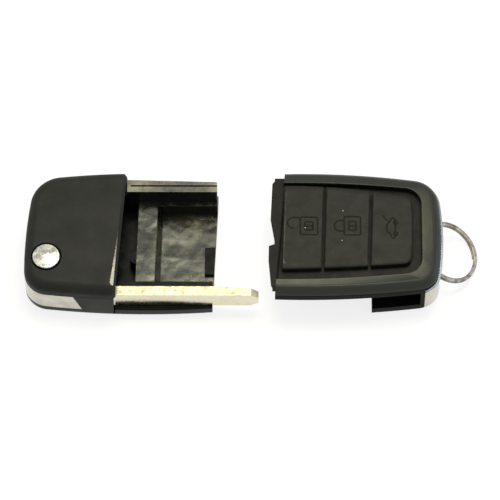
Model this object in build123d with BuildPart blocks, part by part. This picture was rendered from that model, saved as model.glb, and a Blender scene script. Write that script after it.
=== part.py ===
from build123d import *

import math
import os

# Flip key shell for a car key, shown with its two halves pulled apart.
# All sizes are in millimetres. X runs along the shell, Y across it, Z is its thickness.
# The origin is on the back face, under the axis that the blade flips about.
# The remote half is sized where it sits when closed, on planes shifted by pull_apart.

# Outline of the closed shell, seen from above and measured from the pivot
head_reach = 6.45
remote_reach = 68.1
back_reach = 28.4
front_reach = 11.5
widest_share = 0.41
head_skew = 2.6
head_front_skew = 0.25
head_widest_y = 1.0
head_back_fall = 2.2
remote_back_fall = 3.1
head_front_fall = 2.3
remote_front_fall = 2.8
end_bulge = 1.65
head_back_radius = 9.5
head_front_radius = 7.0
remote_back_radius = 8.0
remote_front_radius = 6.5

# Layers of the shell, from the back face up
lower_height = 4.4
upper_height = 4.8
bottom_radius = 2.4
top_radius = 3.0

# How the two halves meet
mating_x = 21.35
mating_rake = 4.2
pull_apart = 45.9

# Gaps between pieces: along the slide, in height, round shafts, round the tub, at the tray's end
slide_gap = 0.15
flat_gap = 0.1
pin_gap = 0.05
tub_gap = 0.3
end_gap = 0.2

# Head cover
cover_wall = 1.2
cover_roof = 1.6
cover_bevel = 0.8
collar_wall = 0.9
collar_height = 2.4

# Head base: floor, outer wall, and the room that the blade's hub turns in
base_wall = 1.5
base_floor = 1.8
hub_floor = 1.4
cavity_radius = 11.5
cavity_wall = 1.2
wall_foot = 0.2
boss_radius = 4.8
boss_gap = 0.1
arm_gap = 0.4

# Tray that the remote slides onto: strip, bay with a sloping end, rail, post and catch
tray_floor = 1.5
tray_skew = 1.35
strip_inset = 4.45
strip_width = 5.5
strip_height = 6.8
bay_slope = 1.5
ledge_width = 1.3
inner_rake = 1.7
slot_gap = 0.4
slot_wall = 3.0
slot_wall_height = 7.2
slot_wall_inset = 0.7
rail_inset = 1.7
rail_width = 4.0
rail_rake = 1.45
rail_height = 13.1
rail_root = 4.0
rail_end_gap = 0.4
rail_groove_width = 0.5
rail_groove_depth = 0.7
rail_groove_inset = 1.0
post_radius = 2.0
post_inset = 0.1
post_y = 4.5
catch_length = 2.6
catch_width = 8.8
catch_height = 1.5
catch_front = 1.0

# Release button with its screw, washer, spring and the cap under them
button_radius = 4.05
button_clearance = 0.4
button_proud = 0.45
button_dome = 0.55
button_edge = 0.3
button_travel = 1.4
flange_radius = 5.2
flange_height = 0.8
flange_play = 0.3
flange_gap = 0.25
stem_radius = 2.2
web_height = 0.7
screw_radius = 0.9
screw_length = 6.0
screw_head_radius = 2.4
screw_head_height = 1.1
slot_length = 3.1
slot_width = 0.6
slot_depth = 0.5
washer_radius = 2.9
washer_height = 0.3
washer_gap = 0.3
cap_radius = 3.8
spring_wire = 0.7
spring_radius = 3.3
spring_turns = 4
spring_seat = 3.5
spring_bore = 4.3
spring_gap = 0.05

# Blade with its hub, pin and chrome trim
blade_offset = 8.4
blade_thickness = 3.0
blade_height = 6.4
blade_play = 0.2
tip_slope = 2.2
tip_drop = 1.7
tip_thickness = 2.2
thin_length = 13.0
tang_length = 5.3
tang_shoulder = 0.7
hub_radius = 6.9
hub_tail_radius = 11.2
arm_inset = 2.05
arm_wall = 1.9
roll_pin_radius = 1.0
roll_pin_wall = 0.4
roll_pin_slit = 0.35
roll_pin_inset = 2.9
roll_pin_lap = 0.6
trim_wall = 0.9
trim_end_low = 10.9
trim_end_high = 7.7
trim_start = 0.0

# Remote: window of the top case, keypad frame with its tongue, tub and mat
window_back = 4.4
window_front = 4.6
window_end = 5.9
window_near_fall = 0.35
window_far_fall = 2.1
window_widest = 13.25
window_radius = 5.0
plate_height = 0.8
plate_drop = 1.9
plate_lap = 1.3
plate_gap = 0.1
tongue_gap = 0.5
tongue_step = 0.9
tongue_depths = (1.5, 2.2, 2.7, 3.2, 3.3, 2.6, 2.2)
tongue_notch = (13.3, 6.5, 5.2, 4.6)
tongue_notch_depth = 1.6
tub_inset = 0.85
tub_lead = 1.4
tub_bottom = 3.3
tub_shallow_bottom = 7.1
tub_wall = 1.2
mat_ledge = 0.8
mat_height = 0.6
mat_drop = 0.7
mat_gap = 0.1
mat_corner_radius = 1.0
mat_dome_radius = 2.0
mat_dome_height = 0.5

# Keys
key_proud = 0.2
key_inset = 0.85
key_end_groove = 2.75
key_back_groove = 0.6
key_front_groove = 3.1
key_back_fall = 3.8
key_back_bow = 0.9
key_front_fall = 2.0
key_front_bow = 0.7
key_end_bow = 0.25
key_corner_radius = 2.2
key_near_radius = 0.7
key_edge_radius = 0.4
key_travel = 0.4
key_middle = 9.5
divider_width = 0.7
divider_shares = (0.317, 0.677)
plunger_length = 6.0
plunger_width = 9.0
plunger_gap = 0.3

# End of the remote, measured back from its far end: end block, blade slot, trim and ring
end_block_length = 18.5
shelf_length = 1.6
shelf_lap = 2.0
tip_wall = 6.2
tip_play = 0.8
tip_gap = 0.6
end_trim_length = 4.9
end_trim_wall = 0.8
end_trim_low = 0.6
end_trim_proud = 0.3
pocket_wall = 0.4
ring_pocket_length = 6.7
ring_pocket_half = 10.6
ring_pocket_floor = 3.2
ring_post_radius = 1.3
ring_post_inset = 2.5
ring_post_seat = 1.2
ring_y = 7.0
ring_radius = 9.0
ring_hang = 4.85
ring_centre_height = 5.55
ring_band = 1.2
ring_strip = 0.76
ring_pitch = 0.84
ring_tilt = 30.0
ring_turns = 1.88

# Heights that follow from the sizes above
band_height = blade_height + 2 * blade_play
band_top = lower_height + band_height
top = band_top + upper_height
ceiling = top - cover_roof
hub_bottom = hub_floor + flat_gap
hub_top = band_top - flat_gap
blade_bottom = lower_height + blade_play
blade_top = blade_bottom + blade_height
blade_middle = (blade_bottom + blade_top) / 2
flange_top = ceiling - flange_play
flange_bottom = flange_top - flange_height
stem_bottom = lower_height - web_height
screw_bottom = stem_bottom - washer_height - screw_head_height
cap_height = screw_bottom - button_travel - flat_gap
spring_floor = hub_top - spring_seat
plate_top = top - plate_drop
plate_bottom = plate_top - plate_height
mat_top = plate_bottom - mat_drop
key_bottom = plate_top + key_travel + flat_gap
key_top = top + key_proud
plunger_bottom = mat_top + mat_dome_height + key_travel + pin_gap

# Places along the closed shell that follow from its length and its mating edge
widest_x = remote_reach * widest_share
arm_end = mating_x - arm_inset
strip_left = mating_x + strip_inset
strip_right = strip_left + strip_width
tub_left = mating_x + tub_inset
tub_deep_left = strip_right + bay_slope + tub_lead
case_end_start = remote_reach - end_block_length
shelf_start = case_end_start - shelf_length
tray_end = case_end_start - end_gap
lip_end = shelf_start - end_gap
tip_slot_end = remote_reach - tip_wall
blade_tip = tip_slot_end - tip_play
ring_pocket_start = remote_reach - ring_pocket_length
tub_end = ring_pocket_start - pocket_wall - slide_gap
end_trim_start = remote_reach - end_trim_length
ring_post_x = remote_reach - ring_post_inset
ring_centre_x = ring_post_x + ring_hang
key_left = mating_x + key_inset
key_end = remote_reach - window_end - key_end_groove
first_divider = key_left + divider_shares[0] * (key_end - key_left)
second_divider = key_left + divider_shares[1] * (key_end - key_left)

# Places across the shell that follow from the blade and from the back edge
blade_inner = blade_thickness / 2 - blade_offset
blade_outer = blade_inner - blade_thickness
arm_back = blade_inner + arm_wall
slot_wall_front = blade_inner + slot_gap
slot_wall_back = slot_wall_front + slot_wall
tip_slot_wall = blade_inner + tip_gap
tub_front = slot_wall_back + tub_gap
rail_back = back_reach - rail_inset
rail_front = rail_back - rail_width
bay_back = rail_front - ledge_width
tub_back = bay_back - tub_gap

# Length that reaches past the whole shell, for cuts right through it
beyond = 120.0


def head_plane(height):
    """Plane at a height, in the head's place."""
    return Plane.XY.offset(height)


def remote_plane(height):
    """Plane at a height, shifted to where the pulled-off remote lies."""
    return Plane(origin=(pull_apart, 0, height))


def side_plane(y):
    """Upright plane along the shell at a place across it, facing the front."""
    return Plane.XZ.offset(-y)


def raked(x, y, rake):
    """X of a line across the shell that leans by rake and passes x at the middle."""
    return x + math.tan(math.radians(rake)) * (y - blade_offset)


def rail_side(x):
    """Y of the rail's back side, which leans towards the front along the tray."""
    return rail_back - math.tan(math.radians(rail_rake)) * (x - mating_x)


def mating_plane(shift):
    """Upright plane along the mating edge, facing the remote."""
    lean = math.radians(mating_rake)
    return Plane(origin=(mating_x + shift, blade_offset, 0), z_dir=(math.cos(lean), -math.sin(lean), 0))


def block(x_low, x_high, y_low, y_high, mode=Mode.ADD):
    """Rectangle in a sketch, given by its sides."""
    corners = ((x_low, y_low), (x_high, y_low), (x_high, y_high), (x_low, y_high))
    Polygon(*corners, align=None, mode=mode)


def raked_block(x_low, x_high, y_low, y_high, rake, mode=Mode.ADD):
    """Rectangle in a sketch whose left side leans by rake."""
    corners = (
        (raked(x_low, y_low, rake), y_low),
        (x_high, y_low),
        (x_high, y_high),
        (raked(x_low, y_high, rake), y_high),
    )
    Polygon(*corners, align=None, mode=mode)


def rail_block(x_low, x_high, y_low, grow):
    """Area of a sketch from y_low back to the rail's leaning back side, moved out by grow."""
    corners = (
        (x_low, y_low),
        (x_high, y_low),
        (x_high, rail_side(x_high) + grow),
        (x_low, rail_side(x_low) + grow),
    )
    Polygon(*corners, align=None)


def head_side(y_low, mode=Mode.ADD):
    """Area of a sketch on the head's side of the mating edge, from y_low back."""
    corners = (
        (-beyond, y_low),
        (raked(mating_x, y_low, mating_rake), y_low),
        (raked(mating_x, beyond, mating_rake), beyond),
        (-beyond, beyond),
    )
    Polygon(*corners, align=None, mode=mode)


def hub_room(grow, mode=Mode.ADD):
    """Area of a sketch that the turning hub needs, behind the front side, made larger by grow."""
    Circle(cavity_radius + grow, mode=mode)
    block(-beyond, 0, -beyond, cavity_radius + grow, mode=mode)


def overlap_circle(start, middle, end, grow, mode):
    """Circle through three points, made larger by grow, that bounds a sketch on one side."""
    side = Edge.make_three_point_arc(start, middle, end)
    with Locations(side.arc_center):
        Circle(side.radius + grow, mode=mode)


def shell_outline(inset, stretch=0.0):
    """Outline of the closed shell: where four large circles overlap, with rounded corners."""
    head_back = (head_skew - head_reach, back_reach - head_back_fall)
    head_front = (head_front_skew - head_reach, head_front_fall - front_reach)
    remote_back = (remote_reach - end_bulge, back_reach - remote_back_fall)
    remote_front = (remote_reach - end_bulge, remote_front_fall - front_reach)
    back_middle = (widest_x, back_reach)
    front_middle = (widest_x, -front_reach)
    far_end = (remote_reach, blade_offset)
    near_end = (-head_reach, head_widest_y)
    with BuildSketch() as outline:
        overlap_circle(head_back, back_middle, remote_back, -inset, Mode.ADD)
        overlap_circle(remote_back, far_end, remote_front, stretch - inset, Mode.INTERSECT)
        overlap_circle(remote_front, front_middle, head_front, -inset, Mode.INTERSECT)
        overlap_circle(head_front, near_end, head_back, -inset, Mode.INTERSECT)
        for far, behind, radius in (
            (False, True, head_back_radius),
            (False, False, head_front_radius),
            (True, True, remote_back_radius),
            (True, False, remote_front_radius),
        ):
            corner = outline.vertices().filter_by(
                lambda point: (point.X > mating_x) == far and (point.Y > blade_offset) == behind
            )
            fillet(corner, radius=radius - inset)
    return outline.sketch


def rounded_body(outline, plane, height, radius):
    """Solid that stands on an outline, with its bottom edge rounded."""
    with BuildPart() as body:
        with BuildSketch(plane):
            add(outline)
        extrude(amount=height)
        fillet(body.faces().sort_by(Axis.Z)[0].edges(), radius=radius)
    return body.part


outer_outline = shell_outline(0)
cover_inner_outline = shell_outline(cover_wall)
base_inner_outline = shell_outline(base_wall)
end_trim_outline = shell_outline(0, end_trim_proud)

# Lower body of the closed shell in both places, and the cores that leave the chrome trims' walls
head_body = rounded_body(outer_outline, head_plane(0), band_top, bottom_radius)
remote_body = rounded_body(outer_outline, remote_plane(0), band_top, bottom_radius)
end_body = rounded_body(end_trim_outline, remote_plane(0), band_top, bottom_radius)
hub_core = rounded_body(
    shell_outline(trim_wall), head_plane(trim_wall), band_top, bottom_radius - trim_wall
)
end_core = rounded_body(
    shell_outline(end_trim_wall), remote_plane(end_trim_wall), band_top, bottom_radius - end_trim_wall
)


# Head cover: top shell of the head, with the button's hole and a guide collar under it
with BuildPart() as head_cover:
    with BuildSketch(head_plane(band_top)):
        add(outer_outline)
    extrude(amount=upper_height)
    fillet(head_cover.faces().sort_by(Axis.Z)[-1].edges(), radius=top_radius)
    split(bisect_by=mating_plane(0), keep=Keep.BOTTOM)
    mating_edge = head_cover.faces().sort_by(Axis.Z)[-1].edges().sort_by(Axis.X)[-1]
    chamfer(mating_edge, length=cover_bevel)
    with BuildSketch(head_plane(band_top)):
        add(cover_inner_outline)
    extrude(amount=ceiling - band_top, mode=Mode.SUBTRACT)
    with BuildSketch(head_plane(ceiling - collar_height)):
        Circle(flange_radius + flange_gap + collar_wall)
        Circle(flange_radius + flange_gap, mode=Mode.SUBTRACT)
    extrude(amount=collar_height)
    with BuildSketch(head_plane(ceiling - flange_play)):
        Circle(button_radius + button_clearance)
    extrude(amount=beyond, mode=Mode.SUBTRACT)
head_cover.part.label = "head_cover"


# Head base: lower shell of the head, drawn out into the tray that the remote slides onto
with BuildPart() as head_base:
    add(head_body)
    with BuildSketch(head_plane(0)):
        head_side(-beyond)
        block(0, lip_end, -beyond, slot_wall_back)
        rail_block(0, tray_end, slot_wall_back, 0)
    extrude(amount=lower_height, mode=Mode.INTERSECT)
    # outer wall round the back of the head, and the wall of the blade hub's room
    with BuildSketch(head_plane(lower_height)):
        add(outer_outline)
        add(base_inner_outline, mode=Mode.SUBTRACT)
        head_side(cavity_radius, mode=Mode.INTERSECT)
    extrude(amount=band_height)
    with BuildSketch(head_plane(lower_height)):
        hub_room(cavity_wall)
        hub_room(0, mode=Mode.SUBTRACT)
        block(-beyond, beyond, -beyond, slot_wall_back, mode=Mode.SUBTRACT)
        add(outer_outline, mode=Mode.INTERSECT)
    extrude(amount=band_height)
    # the hub's room reaches down to a thin floor, round a boss on the pivot
    with BuildSketch(head_plane(hub_floor)):
        hub_room(0)
        block(-beyond, arm_end + arm_gap, -beyond, arm_back + arm_gap)
        Circle(boss_radius, mode=Mode.SUBTRACT)
    extrude(amount=lower_height - hub_floor, mode=Mode.SUBTRACT)
    # hollow of the head behind the hub's room, reaching out to the strip of the tray
    with BuildSketch(head_plane(base_floor)):
        add(base_inner_outline)
        corners = (
            (-beyond, slot_wall_back),
            (raked(strip_left, slot_wall_back, inner_rake), slot_wall_back),
            (raked(strip_left, rail_front, inner_rake), rail_front),
            (mating_x - rail_root, rail_front),
            (mating_x - rail_root, beyond),
            (-beyond, beyond),
        )
        Polygon(*corners, align=None, mode=Mode.INTERSECT)
        hub_room(cavity_wall + wall_foot, mode=Mode.SUBTRACT)
    extrude(amount=lower_height - base_floor, mode=Mode.SUBTRACT)
    # strip and ledge of the tray, then the bay with one sloping end
    with BuildSketch(head_plane(lower_height)):
        raked_block(strip_left, tray_end, slot_wall_back, rail_front, inner_rake)
    extrude(amount=strip_height - lower_height)
    with BuildSketch(head_plane(tray_floor)):
        raked_block(strip_right + bay_slope, beyond, slot_wall_back, bay_back, inner_rake)
    with BuildSketch(head_plane(strip_height)):
        raked_block(strip_right, beyond, slot_wall_back, bay_back, inner_rake)
    loft(mode=Mode.SUBTRACT)
    with BuildSketch(head_plane(base_floor)):
        with Locations((strip_left - post_inset, post_y)):
            Circle(post_radius)
    extrude(amount=strip_height - base_floor)
    # wall between the blade's slot and the bay
    with BuildSketch(head_plane(tray_floor)):
        block(arm_end + slot_wall_inset, lip_end, slot_wall_front, slot_wall_back)
    extrude(amount=slot_wall_height - tray_floor)
    # rail along the back of the tray, with its groove
    rail_end = tray_end - rail_end_gap
    with BuildSketch(head_plane(base_floor)):
        rail_block(mating_x - rail_root, rail_end, rail_front, 0)
    extrude(amount=band_top - base_floor)
    with BuildSketch(head_plane(band_top)):
        rail_start = raked(mating_x, rail_back, mating_rake) + slide_gap
        rail_block(rail_start, rail_end, rail_front, 0)
    extrude(amount=rail_height - band_top)
    with BuildSketch(head_plane(rail_height)):
        groove_front = rail_front + (rail_width - rail_groove_width) / 2
        block(rail_start + rail_groove_inset, beyond, groove_front, groove_front + rail_groove_width)
    extrude(amount=-rail_groove_depth, mode=Mode.SUBTRACT)
    # catch on the floor of the bay, cut off with the rest by the tray's leaning end
    with BuildSketch(head_plane(tray_floor)):
        block(tray_end - tray_skew - catch_length, tray_end, catch_front, catch_front + catch_width)
    extrude(amount=catch_height)
    with BuildSketch(head_plane(0)):
        past_end = (
            (tray_end - tray_skew, slot_wall_back),
            (beyond, slot_wall_back),
            (beyond, rail_back),
            (tray_end, rail_back),
        )
        Polygon(*past_end, align=None)
    extrude(amount=top, mode=Mode.SUBTRACT)
    # holes on the pivot: button stem, screw and washer, cap
    with BuildSketch(head_plane(0)):
        Circle(stem_radius + pin_gap)
    extrude(amount=lower_height, mode=Mode.SUBTRACT)
    with BuildSketch(head_plane(0)):
        Circle(washer_radius + washer_gap)
    extrude(amount=stem_bottom, mode=Mode.SUBTRACT)
    with BuildSketch(head_plane(0)):
        Circle(cap_radius)
    extrude(amount=cap_height, mode=Mode.SUBTRACT)
head_base.part.label = "head_base"


# Back cap: plain disc that closes the screw's recess, flush with the back face
with BuildPart() as back_cap:
    with BuildSketch(head_plane(0)):
        Circle(cap_radius)
    extrude(amount=cap_height)
back_cap.part.label = "back_cap"


# Release button: domed cap, flange that stops under the roof, and stem that is the pivot
with BuildPart() as release_button:
    with BuildSketch(Plane.XZ):
        with BuildLine():
            cap_edge = top + button_proud
            dome_top = cap_edge + button_dome
            dome_width = button_radius - button_edge
            dome_radius = (dome_width**2 + button_dome**2) / (2 * button_dome)
            dome_sag = dome_radius - math.sqrt(dome_radius**2 - dome_width**2 / 4)
            Polyline(
                (0, stem_bottom + screw_length),
                (screw_radius, stem_bottom + screw_length),
                (screw_radius, stem_bottom),
                (stem_radius, stem_bottom),
                (stem_radius, flange_bottom),
                (flange_radius, flange_bottom),
                (flange_radius, flange_top),
                (button_radius, flange_top),
                (button_radius, cap_edge - button_edge),
                (dome_width, cap_edge),
            )
            ThreePointArc((dome_width, cap_edge), (dome_width / 2, dome_top - dome_sag), (0, dome_top))
            Line((0, dome_top), (0, stem_bottom + screw_length))
        make_face()
    revolve(axis=Axis.Z)
release_button.part.label = "release_button"


# Screw and washer that hold the button's stem from below
with BuildPart() as button_washer:
    with BuildSketch(head_plane(stem_bottom - washer_height)):
        Circle(washer_radius)
        Circle(screw_radius + pin_gap, mode=Mode.SUBTRACT)
    extrude(amount=washer_height)
button_washer.part.label = "button_washer"

with BuildPart() as button_screw:
    with BuildSketch(head_plane(screw_bottom)):
        Circle(screw_head_radius)
    extrude(amount=screw_head_height)
    with BuildSketch(head_plane(screw_bottom + screw_head_height)):
        Circle(screw_radius)
    extrude(amount=screw_length)
    with BuildSketch(head_plane(screw_bottom)):
        Rectangle(slot_length, slot_width)
        Rectangle(slot_width, slot_length)
    extrude(amount=slot_depth, mode=Mode.SUBTRACT)
button_screw.part.label = "button_screw"


# Flip spring: square wire coiled between the hub and the button's flange
with BuildPart() as flip_spring:
    spring_start = spring_floor + spring_wire / 2 + spring_gap
    spring_rise = flange_bottom - spring_floor - spring_wire - 2 * spring_gap
    with BuildLine() as spring_path:
        Helix(
            pitch=spring_rise / spring_turns,
            height=spring_rise,
            radius=spring_radius,
            center=(0, 0, spring_start),
        )
    with BuildSketch(Plane(origin=spring_path.line @ 0, x_dir=(1, 0, 0), z_dir=spring_path.line % 0)):
        Rectangle(spring_wire, spring_wire)
    sweep(is_frenet=True)
flip_spring.part.label = "flip_spring"


# Chrome trim on the outer corner of the blade hub, down round the rounded bottom edge
with BuildPart() as hub_trim:
    add(head_body)
    add(hub_core, mode=Mode.SUBTRACT)
    with BuildSketch(side_plane(trim_start)):
        slant = (
            (-beyond, hub_bottom),
            (trim_end_low, hub_bottom),
            (trim_end_high, hub_top),
            (-beyond, hub_top),
        )
        Polygon(*slant, align=None)
    extrude(amount=beyond, mode=Mode.INTERSECT)
hub_trim.part.label = "hub_trim"


# Key blade: plain bar with a sloped tip, thinned towards it, and a stepped tang
with BuildPart() as key_blade:
    with BuildSketch(side_plane(blade_inner)):
        side = (
            (arm_end - tang_length, blade_bottom + tang_shoulder),
            (arm_end, blade_bottom + tang_shoulder),
            (arm_end, blade_bottom),
            (blade_tip - tip_slope, blade_bottom),
            (blade_tip, blade_bottom + tip_drop),
            (blade_tip, blade_top - tip_drop),
            (blade_tip - tip_slope, blade_top),
            (arm_end, blade_top),
            (arm_end, blade_top - tang_shoulder),
            (arm_end - tang_length, blade_top - tang_shoulder),
        )
        Polygon(*side, align=None)
    extrude(amount=blade_thickness)
    with BuildSketch(head_plane(0)):
        thin_side = (
            (blade_tip - thin_length, blade_inner),
            (blade_tip, blade_outer + tip_thickness),
            (blade_tip, blade_inner),
        )
        Polygon(*thin_side, align=None)
    extrude(amount=top, mode=Mode.SUBTRACT)
    with BuildSketch(Plane.XZ):
        with Locations((arm_end - roll_pin_inset, blade_middle)):
            Circle(roll_pin_radius)
    extrude(amount=beyond, mode=Mode.SUBTRACT)
key_blade.part.label = "key_blade"


# Blade hub: turns on the button's stem, fills the front corner of the head, holds the blade
pin_length = arm_back - blade_outer + roll_pin_lap
with BuildPart() as blade_hub:
    with BuildSketch(head_plane(hub_bottom)):
        Circle(hub_tail_radius)
        block(0, beyond, -beyond, beyond, mode=Mode.SUBTRACT)
        Circle(hub_radius)
        block(-beyond, arm_end, -beyond, arm_back)
    extrude(amount=hub_top - hub_bottom)
    add(head_body, mode=Mode.INTERSECT)
    with BuildSketch(head_plane(0)):
        Circle(boss_radius + boss_gap)
    extrude(amount=lower_height + flat_gap, mode=Mode.SUBTRACT)
    with BuildSketch(head_plane(0)):
        Circle(stem_radius + pin_gap)
    extrude(amount=top, mode=Mode.SUBTRACT)
    with BuildSketch(head_plane(spring_floor)):
        Circle(spring_bore)
    extrude(amount=spring_seat, mode=Mode.SUBTRACT)
    with BuildSketch(head_plane(blade_bottom + tang_shoulder)):
        block(arm_end - tang_length, beyond, blade_outer, blade_inner)
    extrude(amount=blade_height - 2 * tang_shoulder, mode=Mode.SUBTRACT)
    with BuildSketch(side_plane(arm_back)):
        with Locations((arm_end - roll_pin_inset, blade_middle)):
            Circle(roll_pin_radius)
    extrude(amount=pin_length, mode=Mode.SUBTRACT)
    add(hub_trim.part, mode=Mode.SUBTRACT)
blade_hub.part.label = "blade_hub"


# Roll pin: split tube through the hub's arm and the blade's tang
with BuildPart() as blade_roll_pin:
    with BuildSketch(side_plane(arm_back)):
        with Locations((arm_end - roll_pin_inset, blade_middle)):
            Circle(roll_pin_radius)
            Circle(roll_pin_radius - roll_pin_wall, mode=Mode.SUBTRACT)
        with Locations((arm_end - roll_pin_inset, blade_middle + roll_pin_radius)):
            Rectangle(roll_pin_slit, roll_pin_radius * 1.6, mode=Mode.SUBTRACT)
    extrude(amount=pin_length - flat_gap)
blade_roll_pin.part.label = "blade_roll_pin"


def window_face(grow):
    """Keypad window of the top case: open towards the head, rounded at the far corners."""
    back = back_reach - window_back
    front = window_front - front_reach
    end = remote_reach - window_end
    left = mating_x - window_widest
    middle = mating_x + window_widest
    back_start = (left, back - window_near_fall)
    back_end = (end, back - window_far_fall)
    front_start = (left, front + window_near_fall)
    front_end = (end, front + window_far_fall)
    with BuildSketch() as window:
        overlap_circle(back_start, (middle, back), back_end, grow, Mode.ADD)
        overlap_circle(front_end, (middle, front), front_start, grow, Mode.INTERSECT)
        block(left, end + grow, -beyond, beyond, mode=Mode.INTERSECT)
        far_corners = window.vertices().filter_by(lambda corner: corner.X > middle)
        fillet(far_corners, radius=window_radius + grow)
    return window.sketch


window_shape = window_face(0)
plate_pocket = window_face(plate_lap)
plate_shape = window_face(plate_lap - plate_gap)


# Remote top case: frame round the keypad, stepped inside for the plate, tub and rail
with BuildPart() as remote_top_case:
    with BuildSketch(remote_plane(band_top)):
        add(outer_outline)
    extrude(amount=upper_height)
    fillet(remote_top_case.faces().sort_by(Axis.Z)[-1].edges(), radius=top_radius)
    with BuildSketch(remote_plane(plate_bottom)):
        add(window_shape)
    extrude(amount=top - plate_bottom, mode=Mode.SUBTRACT)
    split(bisect_by=mating_plane(pull_apart), keep=Keep.TOP)
    with BuildSketch(remote_plane(band_top)):
        block(0, tub_end + slide_gap, tub_front - slide_gap, tub_back + slide_gap)
        rail_block(0, case_end_start + slide_gap, tub_front - slide_gap, slide_gap)
    extrude(amount=plate_bottom - band_top, mode=Mode.SUBTRACT)
    with BuildSketch(remote_plane(plate_bottom)):
        add(plate_pocket)
    extrude(amount=plate_height, mode=Mode.SUBTRACT)
    with BuildSketch(remote_plane(band_top)):
        with Locations((ring_post_x, ring_y)):
            Circle(ring_post_radius)
    extrude(amount=ring_post_seat, mode=Mode.SUBTRACT)
remote_top_case.part.label = "remote_top_case"


key_borders = (key_left, first_divider, second_divider, key_end)
key_cuts = (key_left - beyond, first_divider, second_divider, key_end + beyond)
key_centres = []
for left_border, right_border in zip(key_borders[:-1], key_borders[1:]):
    key_centres.append((left_border + right_border) / 2)


# Keypad frame: thin plate under the keys, with the stepped tongue that goes into the head
with BuildPart() as keypad_frame:
    with BuildSketch(remote_plane(plate_bottom)):
        add(plate_shape)
        head_side(-beyond, mode=Mode.SUBTRACT)
        tongue_back = back_reach - cover_wall - tongue_gap
        tongue_front = cover_wall + tongue_gap - front_reach
        tongue = (
            (raked(mating_x, tongue_back, mating_rake), tongue_back),
            (mating_x - tongue_depths[0], tongue_back),
            (mating_x - tongue_depths[0], tongue_back - tongue_step),
            (mating_x - tongue_depths[1], tongue_back - 2 * tongue_step),
            (mating_x - tongue_depths[2], tongue_notch[0]),
            (mating_x - tongue_notch_depth, tongue_notch[1]),
            (mating_x - tongue_notch_depth, tongue_notch[2]),
            (mating_x - tongue_depths[3], tongue_notch[3]),
            (mating_x - tongue_depths[4], 0),
            (mating_x - tongue_depths[5], tongue_front + 2 * tongue_step),
            (mating_x - tongue_depths[6], tongue_front + tongue_step),
            (mating_x - tongue_depths[6], tongue_front),
            (raked(mating_x, tongue_front, mating_rake), tongue_front),
        )
        Polygon(*tongue, align=None)
        for centre in key_centres:
            with Locations((centre, key_middle)):
                Rectangle(
                    plunger_length + 2 * plunger_gap,
                    plunger_width + 2 * plunger_gap,
                    mode=Mode.SUBTRACT,
                )
    extrude(amount=plate_height)
keypad_frame.part.label = "keypad_frame"


# Keypad mat: rubber sheet with a low dome under each key
with BuildPart() as keypad_mat:
    with BuildSketch(remote_plane(mat_top - mat_height)):
        block(
            tub_left + tub_wall + mat_gap,
            tub_end - tub_wall - mat_gap,
            tub_front + tub_wall + mat_gap,
            tub_back - tub_wall - mat_gap,
        )
    extrude(amount=mat_height)
    fillet(keypad_mat.edges().filter_by(Axis.Z), radius=mat_corner_radius)
    with BuildSketch(remote_plane(mat_top)):
        for centre in key_centres:
            with Locations((centre, key_middle)):
                Circle(mat_dome_radius)
    extrude(amount=mat_dome_height, taper=30)
keypad_mat.part.label = "keypad_mat"


def keypad_face():
    """Outline of all the keys together: tapered, with rounded far corners."""
    back = back_reach - window_back - key_back_groove
    front = window_front - front_reach + key_front_groove
    middle = (key_left + key_end) / 2
    near_back = (raked(key_left, back, inner_rake), back)
    near_front = (raked(key_left, front, inner_rake), front)
    far_back = (key_end, back - key_back_fall)
    far_front = (key_end - key_end_bow, front + key_front_fall)
    with BuildSketch() as pad:
        with BuildLine():
            ThreePointArc(near_back, (middle, back - key_back_bow), far_back)
            ThreePointArc(far_back, (key_end + key_end_bow, blade_offset), far_front)
            ThreePointArc(far_front, (middle, front + key_front_bow), near_front)
            Line(near_front, near_back)
        make_face()
        far_corners = pad.vertices().filter_by(lambda corner: corner.X > middle)
        fillet(far_corners, radius=key_corner_radius)
        near_corners = pad.vertices().filter_by(lambda corner: corner.X < first_divider)
        fillet(near_corners, radius=key_near_radius)
    return pad.sketch


keypad_shape = keypad_face()


def make_key(index, name):
    """One key: its share of the keypad, rounded on top, with a plunger underneath."""
    low = key_cuts[index] + divider_width / 2
    high = key_cuts[index + 1] - divider_width / 2
    with BuildPart() as key:
        with BuildSketch(remote_plane(key_bottom)):
            add(keypad_shape)
            share = (
                (raked(low, -beyond, inner_rake), -beyond),
                (raked(high, -beyond, inner_rake), -beyond),
                (raked(high, beyond, inner_rake), beyond),
                (raked(low, beyond, inner_rake), beyond),
            )
            Polygon(*share, align=None, mode=Mode.INTERSECT)
        extrude(amount=key_top - key_bottom)
        fillet(key.faces().sort_by(Axis.Z)[-1].edges(), radius=key_edge_radius)
        with BuildSketch(remote_plane(plunger_bottom)):
            with Locations((key_centres[index], key_middle)):
                Rectangle(plunger_length, plunger_width)
        extrude(amount=key_bottom - plunger_bottom)
    key.part.label = name
    return key.part


keys = []
for index, name in enumerate(("key_unlock", "key_lock", "key_boot")):
    keys.append(make_key(index, name))


# Chrome trim round the end of the remote, following the rounded bottom edge
with BuildPart() as end_trim:
    add(end_body)
    add(end_core, mode=Mode.SUBTRACT)
    with BuildSketch(remote_plane(end_trim_low)):
        block(end_trim_start, beyond, -beyond, beyond)
    extrude(amount=band_top - end_trim_low, mode=Mode.INTERSECT)
    with BuildSketch(remote_plane(ring_pocket_floor)):
        block(ring_pocket_start, beyond, ring_y - ring_pocket_half, ring_y + ring_pocket_half)
    extrude(amount=beyond, mode=Mode.SUBTRACT)
end_trim.part.label = "end_trim"


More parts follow.
